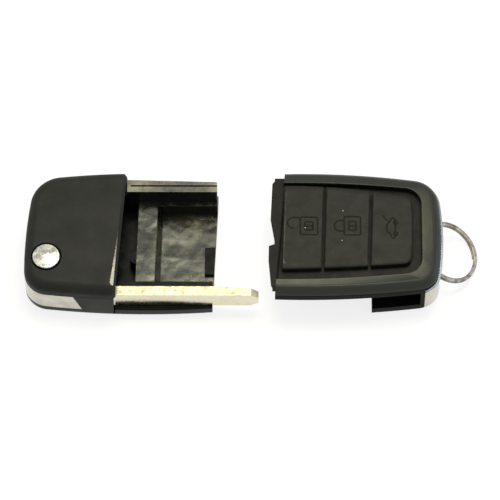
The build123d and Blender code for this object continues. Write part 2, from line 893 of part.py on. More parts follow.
# Remote lower case: end block with blade slot and ring pocket, thin back wall, and the tub
with BuildPart() as remote_lower_case:
    add(remote_body)
    with BuildSketch(remote_plane(0)):
        block(case_end_start, beyond, -beyond, beyond)
        block(shelf_start, beyond, -beyond, tip_slot_wall + shelf_lap)
        wall_front = rail_back + slide_gap
        back_wall = (
            (raked(mating_x, wall_front, mating_rake), wall_front),
            (case_end_start, rail_side(case_end_start) + slide_gap),
            (case_end_start, beyond),
            (raked(mating_x, beyond, mating_rake), beyond),
        )
        Polygon(*back_wall, align=None)
    extrude(amount=band_top, mode=Mode.INTERSECT)
    # tub that hangs into the bay of the tray
    with BuildSketch(remote_plane(tub_shallow_bottom)):
        block(tub_left, tub_end, tub_front, tub_back)
    extrude(amount=plate_bottom - tub_shallow_bottom)
    with BuildSketch(remote_plane(tub_bottom)):
        block(tub_deep_left, case_end_start + tub_wall, tub_front, tub_back)
    extrude(amount=tub_shallow_bottom - tub_bottom)
    thick = tub_wall + mat_ledge
    with BuildSketch(remote_plane(tub_shallow_bottom + tub_wall)):
        block(tub_left + thick, tub_end - thick, tub_front + thick, tub_back - thick)
    extrude(amount=top, mode=Mode.SUBTRACT)
    with BuildSketch(remote_plane(tub_bottom + tub_wall)):
        block(tub_deep_left + thick, tub_end - thick, tub_front + thick, tub_back - thick)
    extrude(amount=top, mode=Mode.SUBTRACT)
    with BuildSketch(remote_plane(mat_top - mat_height)):
        block(tub_left + tub_wall, tub_end - tub_wall, tub_front + tub_wall, tub_back - tub_wall)
    extrude(amount=top, mode=Mode.SUBTRACT)
    # slot for the blade's tip, pocket for the ring, and the post's seat
    with BuildSketch(remote_plane(lower_height)):
        block(0, tip_slot_end, -beyond, tip_slot_wall)
    extrude(amount=top, mode=Mode.SUBTRACT)
    with BuildSketch(remote_plane(ring_pocket_floor)):
        block(ring_pocket_start, beyond, ring_y - ring_pocket_half, ring_y + ring_pocket_half)
    extrude(amount=top, mode=Mode.SUBTRACT)
    with BuildSketch(remote_plane(ring_pocket_floor - ring_post_seat)):
        with Locations((ring_post_x, ring_y)):
            Circle(ring_post_radius)
    extrude(amount=top, mode=Mode.SUBTRACT)
    add(end_trim.part, mode=Mode.SUBTRACT)
remote_lower_case.part.label = "remote_lower_case"


# Steel post that the ring hangs on
with BuildPart() as ring_post:
    with BuildSketch(remote_plane(ring_pocket_floor - ring_post_seat)):
        with Locations((ring_post_x, ring_y)):
            Circle(ring_post_radius)
    extrude(amount=band_top - ring_pocket_floor + 2 * ring_post_seat)
ring_post.part.label = "ring_post"


# Split ring: two turns of flat wire, hanging down to the surface that the shell lies on
with BuildPart() as split_ring:
    tilt = math.radians(ring_tilt)
    ring_normal = Vector(math.sin(tilt), 0, math.cos(tilt))
    ring_rise = ring_pitch * ring_turns
    ring_centre = Vector(ring_centre_x + pull_apart, ring_y, ring_centre_height)
    ring_base = ring_centre - ring_normal * (ring_rise / 2)
    with BuildLine() as ring_path:
        Helix(
            pitch=ring_pitch,
            height=ring_rise,
            radius=ring_radius,
            center=ring_base,
            direction=ring_normal,
        )
    ring_start = ring_path.line @ 0
    outward = (ring_start - ring_base).normalized()
    with BuildSketch(Plane(origin=ring_start, x_dir=outward, z_dir=ring_path.line % 0)):
        Rectangle(ring_band, ring_strip)
    sweep(is_frenet=True)
split_ring.part.label = "split_ring"


os.makedirs("parts", exist_ok=True)
sub_parts = (
    head_cover.part,
    head_base.part,
    back_cap.part,
    release_button.part,
    button_washer.part,
    button_screw.part,
    flip_spring.part,
    hub_trim.part,
    key_blade.part,
    blade_hub.part,
    blade_roll_pin.part,
    remote_top_case.part,
    keypad_frame.part,
    keypad_mat.part,
    end_trim.part,
    remote_lower_case.part,
    ring_post.part,
    split_ring.part,
    *keys,
)
for sub_part in sub_parts:
    file_name = sub_part.label + ".step"
    export_step(sub_part, "parts/" + file_name)
    print(sub_part.label, round(sub_part.volume, 1))
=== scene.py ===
"""Flip key shell with its two halves pulled apart: finishes, moulded detail, light and camera.

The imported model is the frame. Every piece made here rides on one of its bodies, in metres.
X runs from the head half to the remote half, Y across the shell, Z out of the key side.
"""

import logging
import math
from dataclasses import dataclass
from enum import Enum
from typing import Any, Callable, Sequence

import bmesh
import bpy
import numpy as np
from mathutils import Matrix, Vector

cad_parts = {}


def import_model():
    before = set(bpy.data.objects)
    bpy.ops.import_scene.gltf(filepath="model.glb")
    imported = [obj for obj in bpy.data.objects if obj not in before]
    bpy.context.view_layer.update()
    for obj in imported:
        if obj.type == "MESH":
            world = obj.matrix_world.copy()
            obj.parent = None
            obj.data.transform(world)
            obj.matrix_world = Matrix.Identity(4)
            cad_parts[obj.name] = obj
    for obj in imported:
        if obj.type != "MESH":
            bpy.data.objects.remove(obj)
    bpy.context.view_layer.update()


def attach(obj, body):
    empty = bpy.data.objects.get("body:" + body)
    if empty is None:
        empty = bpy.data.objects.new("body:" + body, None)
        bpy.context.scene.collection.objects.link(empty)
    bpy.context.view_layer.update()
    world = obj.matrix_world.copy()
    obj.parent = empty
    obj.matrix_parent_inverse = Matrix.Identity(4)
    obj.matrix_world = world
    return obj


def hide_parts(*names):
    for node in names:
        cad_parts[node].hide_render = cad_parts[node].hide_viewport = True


LOG = logging.getLogger("flip_key_shell")
MM = 0.001
# Metres under which points are one and edges are nothing, in new meshes and in copies of CAD nodes.
WELD, SLIVER = 1e-7, 1e-8
CAD_WELD, CAD_SLIVER = 2e-6, 1e-6
# Raked line where the halves meet: its X at the shell's middle, its lean in degrees, that middle's Y.
MATING_X = 21.35
MATING_RAKE = 4.2
SHELL_MIDDLE = 8.4
# How far the remote lies from its closed place, along X.
PULL_APART = 45.9
# Casts of the plastics' highlights, their IOR, and where a soft noise mostly stays.
PLAIN_SHEEN = "#fdfef8"
OLIVE_SHEEN = "#f9fff0"
PLASTIC_IOR = 1.5
NOISE_SPAN = (0.3, 0.7)
Pair = tuple[float, float]
Point = tuple[float, float]
Triple = tuple[float, float, float]
Arc = tuple[Point, Point, Point]
Socket = bpy.types.NodeSocket
Links = dict[str, Socket]


def linear(code: str) -> tuple[float, float, float, float]:
    """Turn an sRGB hex colour into linear RGBA.

    Args:
        code: colour such as "#2f2f2c".

    Returns:
        Red, green, blue and 1.
    """
    parts = [int(code[i : i + 2], 16) / 255 for i in (1, 3, 5)]
    values = [p / 12.92 if p <= 0.04045 else ((p + 0.055) / 1.055) ** 2.4 for p in parts]
    return (values[0], values[1], values[2], 1.0)


def socket(node: bpy.types.Node, key: str) -> Socket:
    """Input of a node by its name, or by its number where names repeat."""
    return node.inputs[int(key)] if key.isdigit() else node.inputs[key]


def add_node(
    tree: bpy.types.NodeTree, kind: str, settings: dict[str, Any] | None = None, links: Links | None = None
) -> bpy.types.Node:
    """Add a shader node, set its properties or socket values, and link its inputs.

    Args:
        tree: node tree of the material or world.
        kind: node type, such as "ShaderNodeTexNoise".
        settings: property or input socket names with their values.
        links: input socket names with the output sockets that feed them.

    Returns:
        The new node.
    """
    made = tree.nodes.new(kind)
    for key, value in (settings or {}).items():
        if hasattr(made, key):
            setattr(made, key, value)
        else:
            socket(made, key).default_value = value
    for key, source in (links or {}).items():
        tree.links.new(source, socket(made, key))
    return made


class Texture(Enum):
    """Kinds of soft noise: how many finer layers each has, and how strong they are."""

    CLOUD = (5.0, 0.62)
    GLOSS = (3.0, 0.55)
    GRAIN = (2.0, 0.5)
    SINK = (2.5, 0.45)
    WEAR = (6.0, 0.7)
    TONE = (4.0, 0.6)
    SCRATCH = (3.0, 0.6)
    DENT = (2.0, 0.5)


def patches(size: float, texture: Texture) -> dict[str, float]:
    """Noise settings that give soft patches of a real size, in millimetres."""
    detail, roughness = texture.value
    return {"Scale": 1 / (size * MM), "Detail": detail, "Roughness": roughness}


def mapped(old: Pair, new: Pair) -> dict[str, float]:
    """Range settings that map one span to another."""
    return {"From Min": old[0], "From Max": old[1], "To Min": new[0], "To Max": new[1]}


def clouded(
    tree: bpy.types.NodeTree, place: Socket, settings: dict[str, float], tones: Sequence[str], span: Pair
) -> tuple[Socket, Socket]:
    """Make a soft noise and a colour that drifts with it, its tones spread evenly over a span.

    Args:
        tree: node tree of the material.
        place: coordinates in metres.
        settings: noise settings.
        tones: hex colours, the one for the lowest noise first.
        span: noise of the first and the last tone.

    Returns:
        The noise and the colour.
    """
    noise = add_node(tree, "ShaderNodeTexNoise", settings, {"Vector": place}).outputs["Fac"]
    ramp = add_node(tree, "ShaderNodeValToRGB", links={"Fac": noise})
    for element, spot, code in zip(ramp.color_ramp.elements, span, (tones[0], tones[-1])):
        element.position, element.color = spot, linear(code)
    for number, code in enumerate(tones[1:-1], 1):
        spot = span[0] + (span[1] - span[0]) * number / (len(tones) - 1)
        ramp.color_ramp.elements.new(spot).color = linear(code)
    return noise, ramp.outputs["Color"]


def relief(tree: bpy.types.NodeTree, layers: Sequence[tuple[Socket, dict[str, float], float]]) -> Socket:
    """Lay soft reliefs of real depths over each other.

    Args:
        tree: node tree of the material.
        layers: coordinates, noise settings and depth in millimetres of each, the lowest first.

    Returns:
        The normal.
    """
    links: Links = {}
    for place, settings, depth in layers:
        noise = add_node(tree, "ShaderNodeTexNoise", settings, {"Vector": place})
        links["Height"] = noise.outputs["Fac"]
        bump = add_node(tree, "ShaderNodeBump", {"Strength": 1.0, "Distance": depth * MM}, links)
        links["Normal"] = bump.outputs["Normal"]
    return links["Normal"]


class Finish:
    """A finish that can make its material once and hand it out again."""

    made: dict[str, bpy.types.Material] = {}

    def material(self) -> bpy.types.Material:
        """Hand out this finish's material, made the first time that it is asked for.

        Returns:
            The material.
        """
        name = getattr(self, "name")
        if name not in Finish.made:
            material = bpy.data.materials.new(name)
            material.use_nodes = True
            material.node_tree.nodes.clear()
            settings, links = self.build(material.node_tree)
            shader = add_node(material.node_tree, "ShaderNodeBsdfPrincipled", settings, links)
            shown = {"Surface": shader.outputs["BSDF"]}
            add_node(material.node_tree, "ShaderNodeOutputMaterial", links=shown)
            Finish.made[name] = material
        return Finish.made[name]

    def build(self, tree: bpy.types.NodeTree) -> tuple[dict[str, Any], Links]:
        """Fill the node tree; each kind of finish does this its own way."""
        raise NotImplementedError


@dataclass(frozen=True)
class MouldedFinish(Finish):
    """Moulded plastic or rubber: cloudy colour, uneven gloss and the tool's grain as a bump.

    tones are its dark, middle and pale colour, cloud and gloss the sizes of their soft patches in
    millimetres, grain and wave the size and depth of the tool's grain and of slow sink marks. sheen
    is the cast of its highlights. rim is the colour of its worn edges, where it has any, rim_patch
    the size of the worn patches and rim_share how much of that colour they take.
    """

    name: str
    tones: tuple[str, str, str]
    roughness: Pair
    cloud: float
    gloss: float
    grain: Pair
    wave: Pair | None = None
    specular: float = 0.5
    sheen: str = PLAIN_SHEEN
    rim: str = ""
    rim_patch: float = 1.5
    rim_share: float = 0.6

    def build(self, tree: bpy.types.NodeTree) -> tuple[dict[str, Any], Links]:
        """Fill the node tree.

        Args:
            tree: empty node tree of the material.

        Returns:
            Settings and links of the shader.
        """
        place = add_node(tree, "ShaderNodeTexCoord").outputs["Object"]
        colour = clouded(tree, place, patches(self.cloud, Texture.CLOUD), self.tones, NOISE_SPAN)[1]
        if self.rim:
            colour = self.worn_rim(tree, place, colour)
        gloss = add_node(tree, "ShaderNodeTexNoise", patches(self.gloss, Texture.GLOSS), {"Vector": place})
        links = {"Value": gloss.outputs["Fac"]}
        rough = add_node(tree, "ShaderNodeMapRange", mapped(NOISE_SPAN, self.roughness), links)
        layers = [(place, patches(self.grain[0], Texture.GRAIN), self.grain[1])]
        if self.wave:
            layers.append((place, patches(self.wave[0], Texture.SINK), self.wave[1]))
        settings = {
            "IOR": PLASTIC_IOR,
            "Specular IOR Level": self.specular,
            "Specular Tint": linear(self.sheen),
        }
        links = {"Base Color": colour, "Roughness": rough.outputs["Result"], "Normal": relief(tree, layers)}
        return settings, links

    def worn_rim(self, tree: bpy.types.NodeTree, place: Socket, colour: Socket) -> Socket:
        """Lay a patchy pale wear over the colour where the piece's own "wear" attribute is high.

        Args:
            tree: node tree of the material.
            place: object coordinates.
            colour: colour without wear.

        Returns:
            Colour with wear.
        """
        wear = add_node(tree, "ShaderNodeAttribute", {"attribute_name": "wear"})
        settings = patches(self.rim_patch, Texture.WEAR)
        patch = add_node(tree, "ShaderNodeTexNoise", settings, {"Vector": place})
        links = {"0": wear.outputs["Fac"], "1": patch.outputs["Fac"]}
        both = add_node(tree, "ShaderNodeMath", {"operation": "MULTIPLY"}, links)
        links = {"Value": both.outputs["Value"]}
        share = add_node(tree, "ShaderNodeMapRange", mapped(NOISE_SPAN, (0.0, self.rim_share)), links)
        settings = {"data_type": "RGBA", "7": linear(self.rim)}
        links = {"Factor": share.outputs["Result"], "6": colour}
        return add_node(tree, "ShaderNodeMix", settings, links).outputs[2]


@dataclass(frozen=True)
class MetalFinish(Finish):
    """Bare or plated metal: two close tones, uneven polish, fine scratches and slow waves.

    cloud is the size of the cloudy tones in millimetres, scratch the size and depth of the
    scratches and wave those of shallow dents. stretch says how much longer than wide the scratches
    are, per axis. tone_span holds the noise values of the two tones.
    """

    name: str
    tones: tuple[str, str]
    roughness: Pair
    cloud: float
    scratch: Pair
    stretch: Triple = (1.0, 1.0, 1.0)
    wave: Pair | None = None
    tone_span: Pair = (0.32, 0.66)

    def build(self, tree: bpy.types.NodeTree) -> tuple[dict[str, Any], Links]:
        """Fill the node tree.

        Args:
            tree: empty node tree of the material.

        Returns:
            Settings and links of the shader.
        """
        place = add_node(tree, "ShaderNodeTexCoord").outputs["Object"]
        settings = patches(self.cloud, Texture.TONE)
        tone, colour = clouded(tree, place, settings, self.tones, self.tone_span)
        rough = add_node(tree, "ShaderNodeMapRange", mapped(NOISE_SPAN, self.roughness), {"Value": tone})
        scale = tuple(1 / s for s in self.stretch)
        drawn = add_node(tree, "ShaderNodeMapping", {"Scale": scale}, {"Vector": place})
        layers = [(drawn.outputs["Vector"], patches(self.scratch[0], Texture.SCRATCH), self.scratch[1])]
        if self.wave:
            layers.append((place, patches(self.wave[0], Texture.DENT), self.wave[1]))
        links = {"Base Color": colour, "Roughness": rough.outputs["Result"], "Normal": relief(tree, layers)}
        return {"Metallic": 1.0}, links


# Spark-eroded ABS of the head's cover: even charcoal grey, a sandy grain that kills reflections.
GRAINED_ABS = MouldedFinish(
    "grained_abs", ("#1f201d", "#242522", "#292a26"), roughness=(0.48, 0.58),
    cloud=6.0, gloss=9.0, grain=(0.34, 0.024), specular=0.15,
)
# Satin ABS of the remote's case: olive black, soft wide highlights on its rolled edges.
SATIN_ABS = MouldedFinish(
    "satin_abs", ("#0c0d0a", "#10110d", "#161711"), roughness=(0.34, 0.43),
    cloud=5.0, gloss=7.0, grain=(0.3, 0.016), specular=0.4, sheen=OLIVE_SHEEN,
)
# Matt ABS of the plate under the keys and its tongue: black, so that the grooves read as dark lines.
PLATE_ABS = MouldedFinish(
    "plate_abs", ("#0f100d", "#151612", "#1c1d18"), roughness=(0.4, 0.52),
    cloud=2.5, gloss=3.0, grain=(0.22, 0.008), specular=0.12,
)
# Matt sides of the remote's case: as dark as its slots, so the end block reads as one black box.
SIDE_ABS = MouldedFinish(
    "side_abs", ("#10110f", "#141512", "#1a1b17"), roughness=(0.42, 0.54),
    cloud=3.0, gloss=3.0, grain=(0.25, 0.006), specular=0.05,
)
# Plain gloss ABS outside the lower shells: near black, quiet, with faint flow marks.
POLISHED_ABS = MouldedFinish(
    "polished_abs", ("#0c0d0a", "#10110d", "#161712"), roughness=(0.16, 0.32),
    cloud=3.0, gloss=2.6, grain=(0.35, 0.003), wave=(4.0, 0.02), specular=0.11,
)
# Polished ABS in the tray: wet olive black, speckled, with broad soft sheens from its sink marks.
TRAY_ABS = MouldedFinish(
    "tray_abs", ("#0a0a07", "#141410", "#3b3926"), roughness=(0.1, 0.3),
    cloud=5.0, gloss=3.0, grain=(0.3, 0.045), wave=(9.0, 0.75), specular=0.68, sheen=OLIVE_SHEEN,
)
# The rail's narrow top: the same plastic, painted paler and glossier than the rest, a painted highlight for
# its shine.
PAINTED_SHEEN_RAIL_ABS = MouldedFinish(
    "rail_abs_painted_sheen", ("#1c1c14", "#4a4837", "#8d8a70"), roughness=(0.18, 0.4),
    cloud=7.0, gloss=4.0, grain=(0.4, 0.02), specular=0.8,
)
# Polished cut along the cover's edge: bare of grain, and painted from black up to pale gold, a painted glint
# on top of its own gloss.
PAINTED_GLINT_EDGE_ABS = MouldedFinish(
    "edge_abs_painted_glint", ("#12110b", "#353020", "#7f774c"), roughness=(0.1, 0.22),
    cloud=2.2, gloss=1.5, grain=(0.4, 0.006), wave=(2.4, 0.05), specular=0.7,
)
# Silicone rubber of the keys: dull grey with an olive cast, rubbed pale in places on its edges.
KEY_SILICONE = MouldedFinish(
    "key_silicone", ("#191a15", "#1e1f1a", "#272820"), roughness=(0.44, 0.56),
    cloud=3.2, gloss=4.0, grain=(0.22, 0.008), specular=0.17, rim="#8d8c7a",
)
# The same silicone where the symbols are moulded: denser and darker.
SYMBOL_SILICONE = MouldedFinish(
    "symbol_silicone", ("#12130e", "#171812", "#1e1f18"), roughness=(0.5, 0.6),
    cloud=0.8, gloss=3.0, grain=(0.2, 0.003), specular=0.1,
)
# The tiny silicone pips beside the symbols, painted pale: painted highlights, so they show as light specks.
PAINTED_GLINT_PIP_SILICONE = MouldedFinish(
    "pip_painted_glint", ("#9b9c8c", "#b9baa9", "#cfcfc0"), roughness=(0.4, 0.5),
    cloud=0.4, gloss=0.5, grain=(0.1, 0.002),
)
# Grey silicone of the contact mat: powdery and flat.
MAT_SILICONE = MouldedFinish(
    "mat_silicone", ("#3c3c3c", "#444443", "#4c4c4a"), roughness=(0.6, 0.75),
    cloud=3.0, gloss=4.0, grain=(0.2, 0.004), specular=0.3,
)
# Chrome on the button: bright, warm, dented and clouded by handling.
BUTTON_CHROME = MetalFinish(
    "button_chrome", ("#8b897b", "#e2dfcf"), roughness=(0.1, 0.3),
    cloud=1.7, scratch=(0.5, 0.006), wave=(2.4, 0.14),
)
# Chrome on the corner trims: bright and even.
TRIM_CHROME = MetalFinish(
    "trim_chrome", ("#b3aea2", "#d0cbbf"), roughness=(0.12, 0.24), cloud=5.0, scratch=(0.6, 0.002)
)
# Chrome of the thin bead under the remote's rolled end: in the shade of the roll, so cooler and dimmer.
BEAD_CHROME = MetalFinish(
    "bead_chrome", ("#8b9296", "#a4abae"), roughness=(0.18, 0.28), cloud=5.0, scratch=(0.6, 0.0005)
)
# Nickel silver of the blank: pale gold, drawn along its length, with soft cloudy patches.
BLADE_NICKEL = MetalFinish(
    "blade_nickel", ("#a59e84", "#bdb699"), roughness=(0.18, 0.32),
    cloud=1.6, scratch=(0.14, 0.003), stretch=(6.0, 1.0, 1.0),
)
# The same nickel on the blank's narrow sides, which are rolled smoother than its milled faces, and painted
# paler than them: painted light on the sides.
PAINTED_LIGHT_SIDE_NICKEL = MetalFinish(
    "side_nickel_painted_light", ("#d9d2b8", "#e6e0ca"), roughness=(0.16, 0.28), cloud=3.0, scratch=(0.14, 0.001)
)
# The same nickel on the ground tip: dull, and painted paler than the blank, painted light that keeps it pale
# from every side.
PAINTED_LIGHT_TIP_NICKEL = MetalFinish(
    "tip_nickel_painted_light", ("#d8d1b6", "#ece6cf"), roughness=(0.6, 0.7), cloud=1.5, scratch=(0.15, 0.003)
)
# Nickel plate on the ring's spring steel: bright with brownish depth.
RING_NICKEL = MetalFinish(
    "ring_nickel", ("#5c5144", "#aea697"), roughness=(0.2, 0.3), cloud=3.0, scratch=(0.2, 0.0005)
)
# Drawn wire of the spring and the roll pin: grey, with a dull shine.
SPRING_STEEL = MetalFinish(
    "spring_steel", ("#8a8b8c", "#a5a6a7"), roughness=(0.3, 0.42), cloud=1.5, scratch=(0.1, 0.003)
)
# Zinc plate on the small steel parts: paler and a little cloudy.
ZINC_STEEL = MetalFinish(
    "zinc_steel", ("#a3a5a6", "#c2c3c2"), roughness=(0.28, 0.42), cloud=1.2, scratch=(0.15, 0.003)
)


def grid_faces(rows: int, columns: int, wrap_rows: bool, wrap_columns: bool) -> np.ndarray:
    """Quads of a grid of points, row by row.

    Args:
        rows: number of rows.
        columns: number of columns.
        wrap_rows: whether the last row joins the first.
        wrap_columns: whether the last column joins the first.

    Returns:
        Array of vertex numbers, four per face.
    """
    row = np.arange(rows if wrap_rows else rows - 1)[:, None]
    column = np.arange(columns if wrap_columns else columns - 1)[None, :]
    next_row = (row + 1) % rows
    next_column = (column + 1) % columns
    corners = (
        row * columns + column,
        row * columns + next_column,
        next_row * columns + next_column,
        next_row * columns + column,
    )
    return np.stack(np.broadcast_arrays(*corners), axis=-1).reshape(-1, 4)


def make_mesh(
    name: str, points: np.ndarray, faces: np.ndarray, wear: np.ndarray | None = None
) -> bpy.types.Mesh:
    """Mesh from points in millimetres, with doubles merged and faces turned outwards.

    Args:
        name: name of the mesh.
        points: array of points, three numbers each.
        faces: array of quads.
        wear: how worn each point is, for the "wear" attribute.

    Returns:
        The closed mesh, in metres.
    """
    mesh = bpy.data.meshes.new(name)
    mesh.from_pydata((points.reshape(-1, 3) * MM).tolist(), [], faces.tolist())
    if wear is not None:
        mesh.attributes.new("wear", "FLOAT", "POINT").data.foreach_set("value", wear)
    work = bmesh.new()
    work.from_mesh(mesh)
    bmesh.ops.remove_doubles(work, verts=work.verts, dist=WELD)
    bmesh.ops.dissolve_degenerate(work, edges=work.edges, dist=SLIVER)
    bmesh.ops.recalc_face_normals(work, faces=work.faces)
    work.to_mesh(mesh)
    work.free()
    return mesh


def make_piece(
    name: str,
    mesh: bpy.types.Mesh,
    finish: Finish,
    body: str,
    replaced: Sequence[str] = (),
    sharp_angle: float = 35.0,
) -> bpy.types.Object:
    """Put a mesh into the scene as a piece that rides on a body.

    Args:
        name: piece name.
        mesh: finished mesh, in metres, in the row frame.
        finish: its finish.
        body: CAD body that carries it.
        replaced: CAD nodes that it stands for.
        sharp_angle: angle in degrees above which an edge stays sharp.

    Returns:
        The new object.
    """
    piece = bpy.data.objects.new(name, mesh)
    bpy.context.scene.collection.objects.link(piece)
    mesh.polygons.foreach_set("use_smooth", np.ones(len(mesh.polygons), bool))
    mesh.set_sharp_from_angle(angle=math.radians(sharp_angle))
    mesh.materials.clear()
    mesh.materials.append(finish.material())
    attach(piece, body)
    if replaced:
        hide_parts(*replaced)
    LOG.info("%s rides on %s, %d faces", name, body, len(mesh.polygons))
    return piece


def paint_faces(piece: bpy.types.Object, finish: Finish, chosen: Callable[[Vector, Vector], bool]) -> None:
    """Give another finish to the faces that a rule picks.

    Args:
        piece: the piece.
        finish: the other finish.
        chosen: rule on a face's centre, in millimetres, and its normal.
    """
    piece.data.materials.append(finish.material())
    last = len(piece.data.materials) - 1
    for face in piece.data.polygons:
        if chosen(face.center / MM, face.normal):
            face.material_index = last


@dataclass(frozen=True)
class CarriedNode:
    """A CAD node that keeps its shape, with the finish that it gets and the break of its edges.

    A break of 0 leaves the node itself showing. shape may cut the copy before its edges are broken.
    """

    node: str
    body: str
    slot: str
    finish: Finish
    edge_break: float = 0.0
    shape: Callable[[bmesh.types.BMesh], None] | None = None

    def dress(self) -> bpy.types.Object:
        """Give the node its finish, in a copy with broken edges where it asks for that.

        Returns:
            The object that shows.
        """
        if self.edge_break:
            return rounded_copy(self)
        shown = bpy.data.objects[self.node]
        shown.data.materials.clear()
        shown.data.materials.append(self.finish.material())
        LOG.info("%s keeps its CAD mesh", self.node)
        return shown


def rounded_copy(
    carried: CarriedNode, sharp_angle: float = 32.0, flat_angle: float = 0.4
) -> bpy.types.Object:
    """Copy a CAD node with its sharp edges broken, as a mould or a polisher leaves them.

    The copy's triangles are merged, flat ones joined, and a bevel of the given width
    runs along every edge that turns by more than sharp_angle.

    Args:
        carried: the node with its finish.
        sharp_angle: turn of an edge, in degrees, from which it is broken.
        flat_angle: turn of an edge, in degrees, up to which its faces are joined.

    Returns:
        The new object.
    """
    name = f"{carried.node}_shape"
    mesh = bpy.data.objects[carried.node].data.copy()
    mesh.name = name
    work = bmesh.new()
    work.from_mesh(mesh)
    bmesh.ops.remove_doubles(work, verts=work.verts, dist=CAD_WELD)
    bmesh.ops.dissolve_degenerate(work, edges=work.edges, dist=CAD_SLIVER)
    flat = math.radians(flat_angle)
    bmesh.ops.dissolve_limit(
        work, angle_limit=flat, verts=work.verts, edges=work.edges, delimit={"NORMAL"}
    )
    if carried.shape:
        carried.shape(work)
    work.to_mesh(mesh)
    work.free()
    for attribute in [a for a in mesh.attributes if a.name == "custom_normal"]:
        mesh.attributes.remove(attribute)
    piece = make_piece(
        name, mesh, carried.finish, carried.body, (carried.node,), sharp_angle=sharp_angle
    )
    bevel = piece.modifiers.new("broken_edges", "BEVEL")
    bevel.width = carried.edge_break * MM
    bevel.segments = 2
    bevel.limit_method = "ANGLE"
    bevel.angle_limit = math.radians(sharp_angle)
    bevel.harden_normals = True
    bevel.use_clamp_overlap = True
    return piece


def part_along(
    work: bmesh.types.BMesh, place: Vector, across: Vector, clear: bool = False
) -> list[bmesh.types.BMEdge]:
    """Divide a mesh's faces along a plane.

    Args:
        work: the mesh.
        place: a point on the plane, in millimetres.
        across: the plane's normal.
        clear: whether what lies beyond the plane goes.

    Returns:
        The edges along the plane.
    """
    geometry = [*work.verts, *work.edges, *work.faces]
    cut = bmesh.ops.bisect_plane(
        work, geom=geometry, dist=WELD, plane_co=place * MM, plane_no=across, clear_outer=clear
    )
    return [item for item in cut["geom_cut"] if isinstance(item, bmesh.types.BMEdge)]


def unit_circle(angles: np.ndarray) -> np.ndarray:
    """Points of the unit circle at given angles, two numbers each."""
    return np.stack((np.cos(angles), np.sin(angles)), axis=1)


def three_point_circle(points: Sequence[Point]) -> tuple[np.ndarray, float]:
    """Centre and radius of the circle through three points.

    Args:
        points: three points.

    Returns:
        Centre and radius.
    """
    a, b, c = (np.array(p, float) for p in points)
    sides = 2 * np.array([b - a, c - a])
    squares = np.array([b @ b - a @ a, c @ c - a @ a])
    centre = np.linalg.solve(sides, squares)
    return centre, float(np.linalg.norm(centre - a))


def arc_height(points: Sequence[Point], x: float) -> float:
    """Y at a given X on the arc through three points, on the side of the middle point.

    Args:
        points: the arc's start, middle and end.
        x: place along X.

    Returns:
        The arc's Y there.
    """
    centre, radius = three_point_circle(points)
    rise = math.sqrt(max(0.0, radius**2 - (x - centre[0]) ** 2))
    return float(centre[1] + math.copysign(rise, points[1][1] - centre[1]))


def bowed_loop(
    corners: Sequence[Point],
    bows: Sequence[float],
    radii: Sequence[float],
    side_steps: int = 24,
    arc_steps: int = 10,
) -> np.ndarray:
    """Closed outline with bowed sides and rounded corners.

    Each side from one corner's arc to the next is the straight line plus its bow times
    4u(1-u), to the right of the way it runs. Each corner is an arc tangent to the straight sides.

    Args:
        corners: corner points, anticlockwise.
        bows: how far the side after each corner bulges outwards.
        radii: radius of each corner.
        side_steps: points along a side.
        arc_steps: points along a corner.

    Returns:
        Array of points, two numbers each.
    """
    spots = np.array(corners, float)
    count = len(spots)
    arcs = []
    for i in range(count):
        to_last = spots[i - 1] - spots[i]
        to_next = spots[(i + 1) % count] - spots[i]
        to_last /= np.linalg.norm(to_last)
        to_next /= np.linalg.norm(to_next)
        half = math.acos(float(np.clip(to_last @ to_next, -1, 1))) / 2
        middle = to_last + to_next
        middle /= np.linalg.norm(middle)
        centre = spots[i] + middle * radii[i] / math.sin(half)
        start = spots[i] + to_last * radii[i] / math.tan(half) - centre
        end = spots[i] + to_next * radii[i] / math.tan(half) - centre
        first = math.atan2(start[1], start[0])
        turn = (math.atan2(end[1], end[0]) - first) % (2 * math.pi)
        angles = first + turn * np.linspace(0, 1, arc_steps)
        arcs.append(centre + radii[i] * unit_circle(angles))
    parts = []
    for i in range(count):
        parts.append(arcs[i])
        start, end = arcs[i][-1], arcs[(i + 1) % count][0]
        along = end - start
        outward = np.array((along[1], -along[0])) / np.linalg.norm(along)
        u = np.linspace(0, 1, side_steps + 2)[1:-1, None]
        parts.append(start + along * u + outward * bows[i] * 4 * u * (1 - u))
    return np.concatenate(parts)


def at_height(loop: np.ndarray, height: float | np.ndarray) -> np.ndarray:
    """Outline lifted to a height, as points of three numbers."""
    return np.concatenate((loop, np.broadcast_to(height, (len(loop),)).reshape(-1, 1)), axis=1)


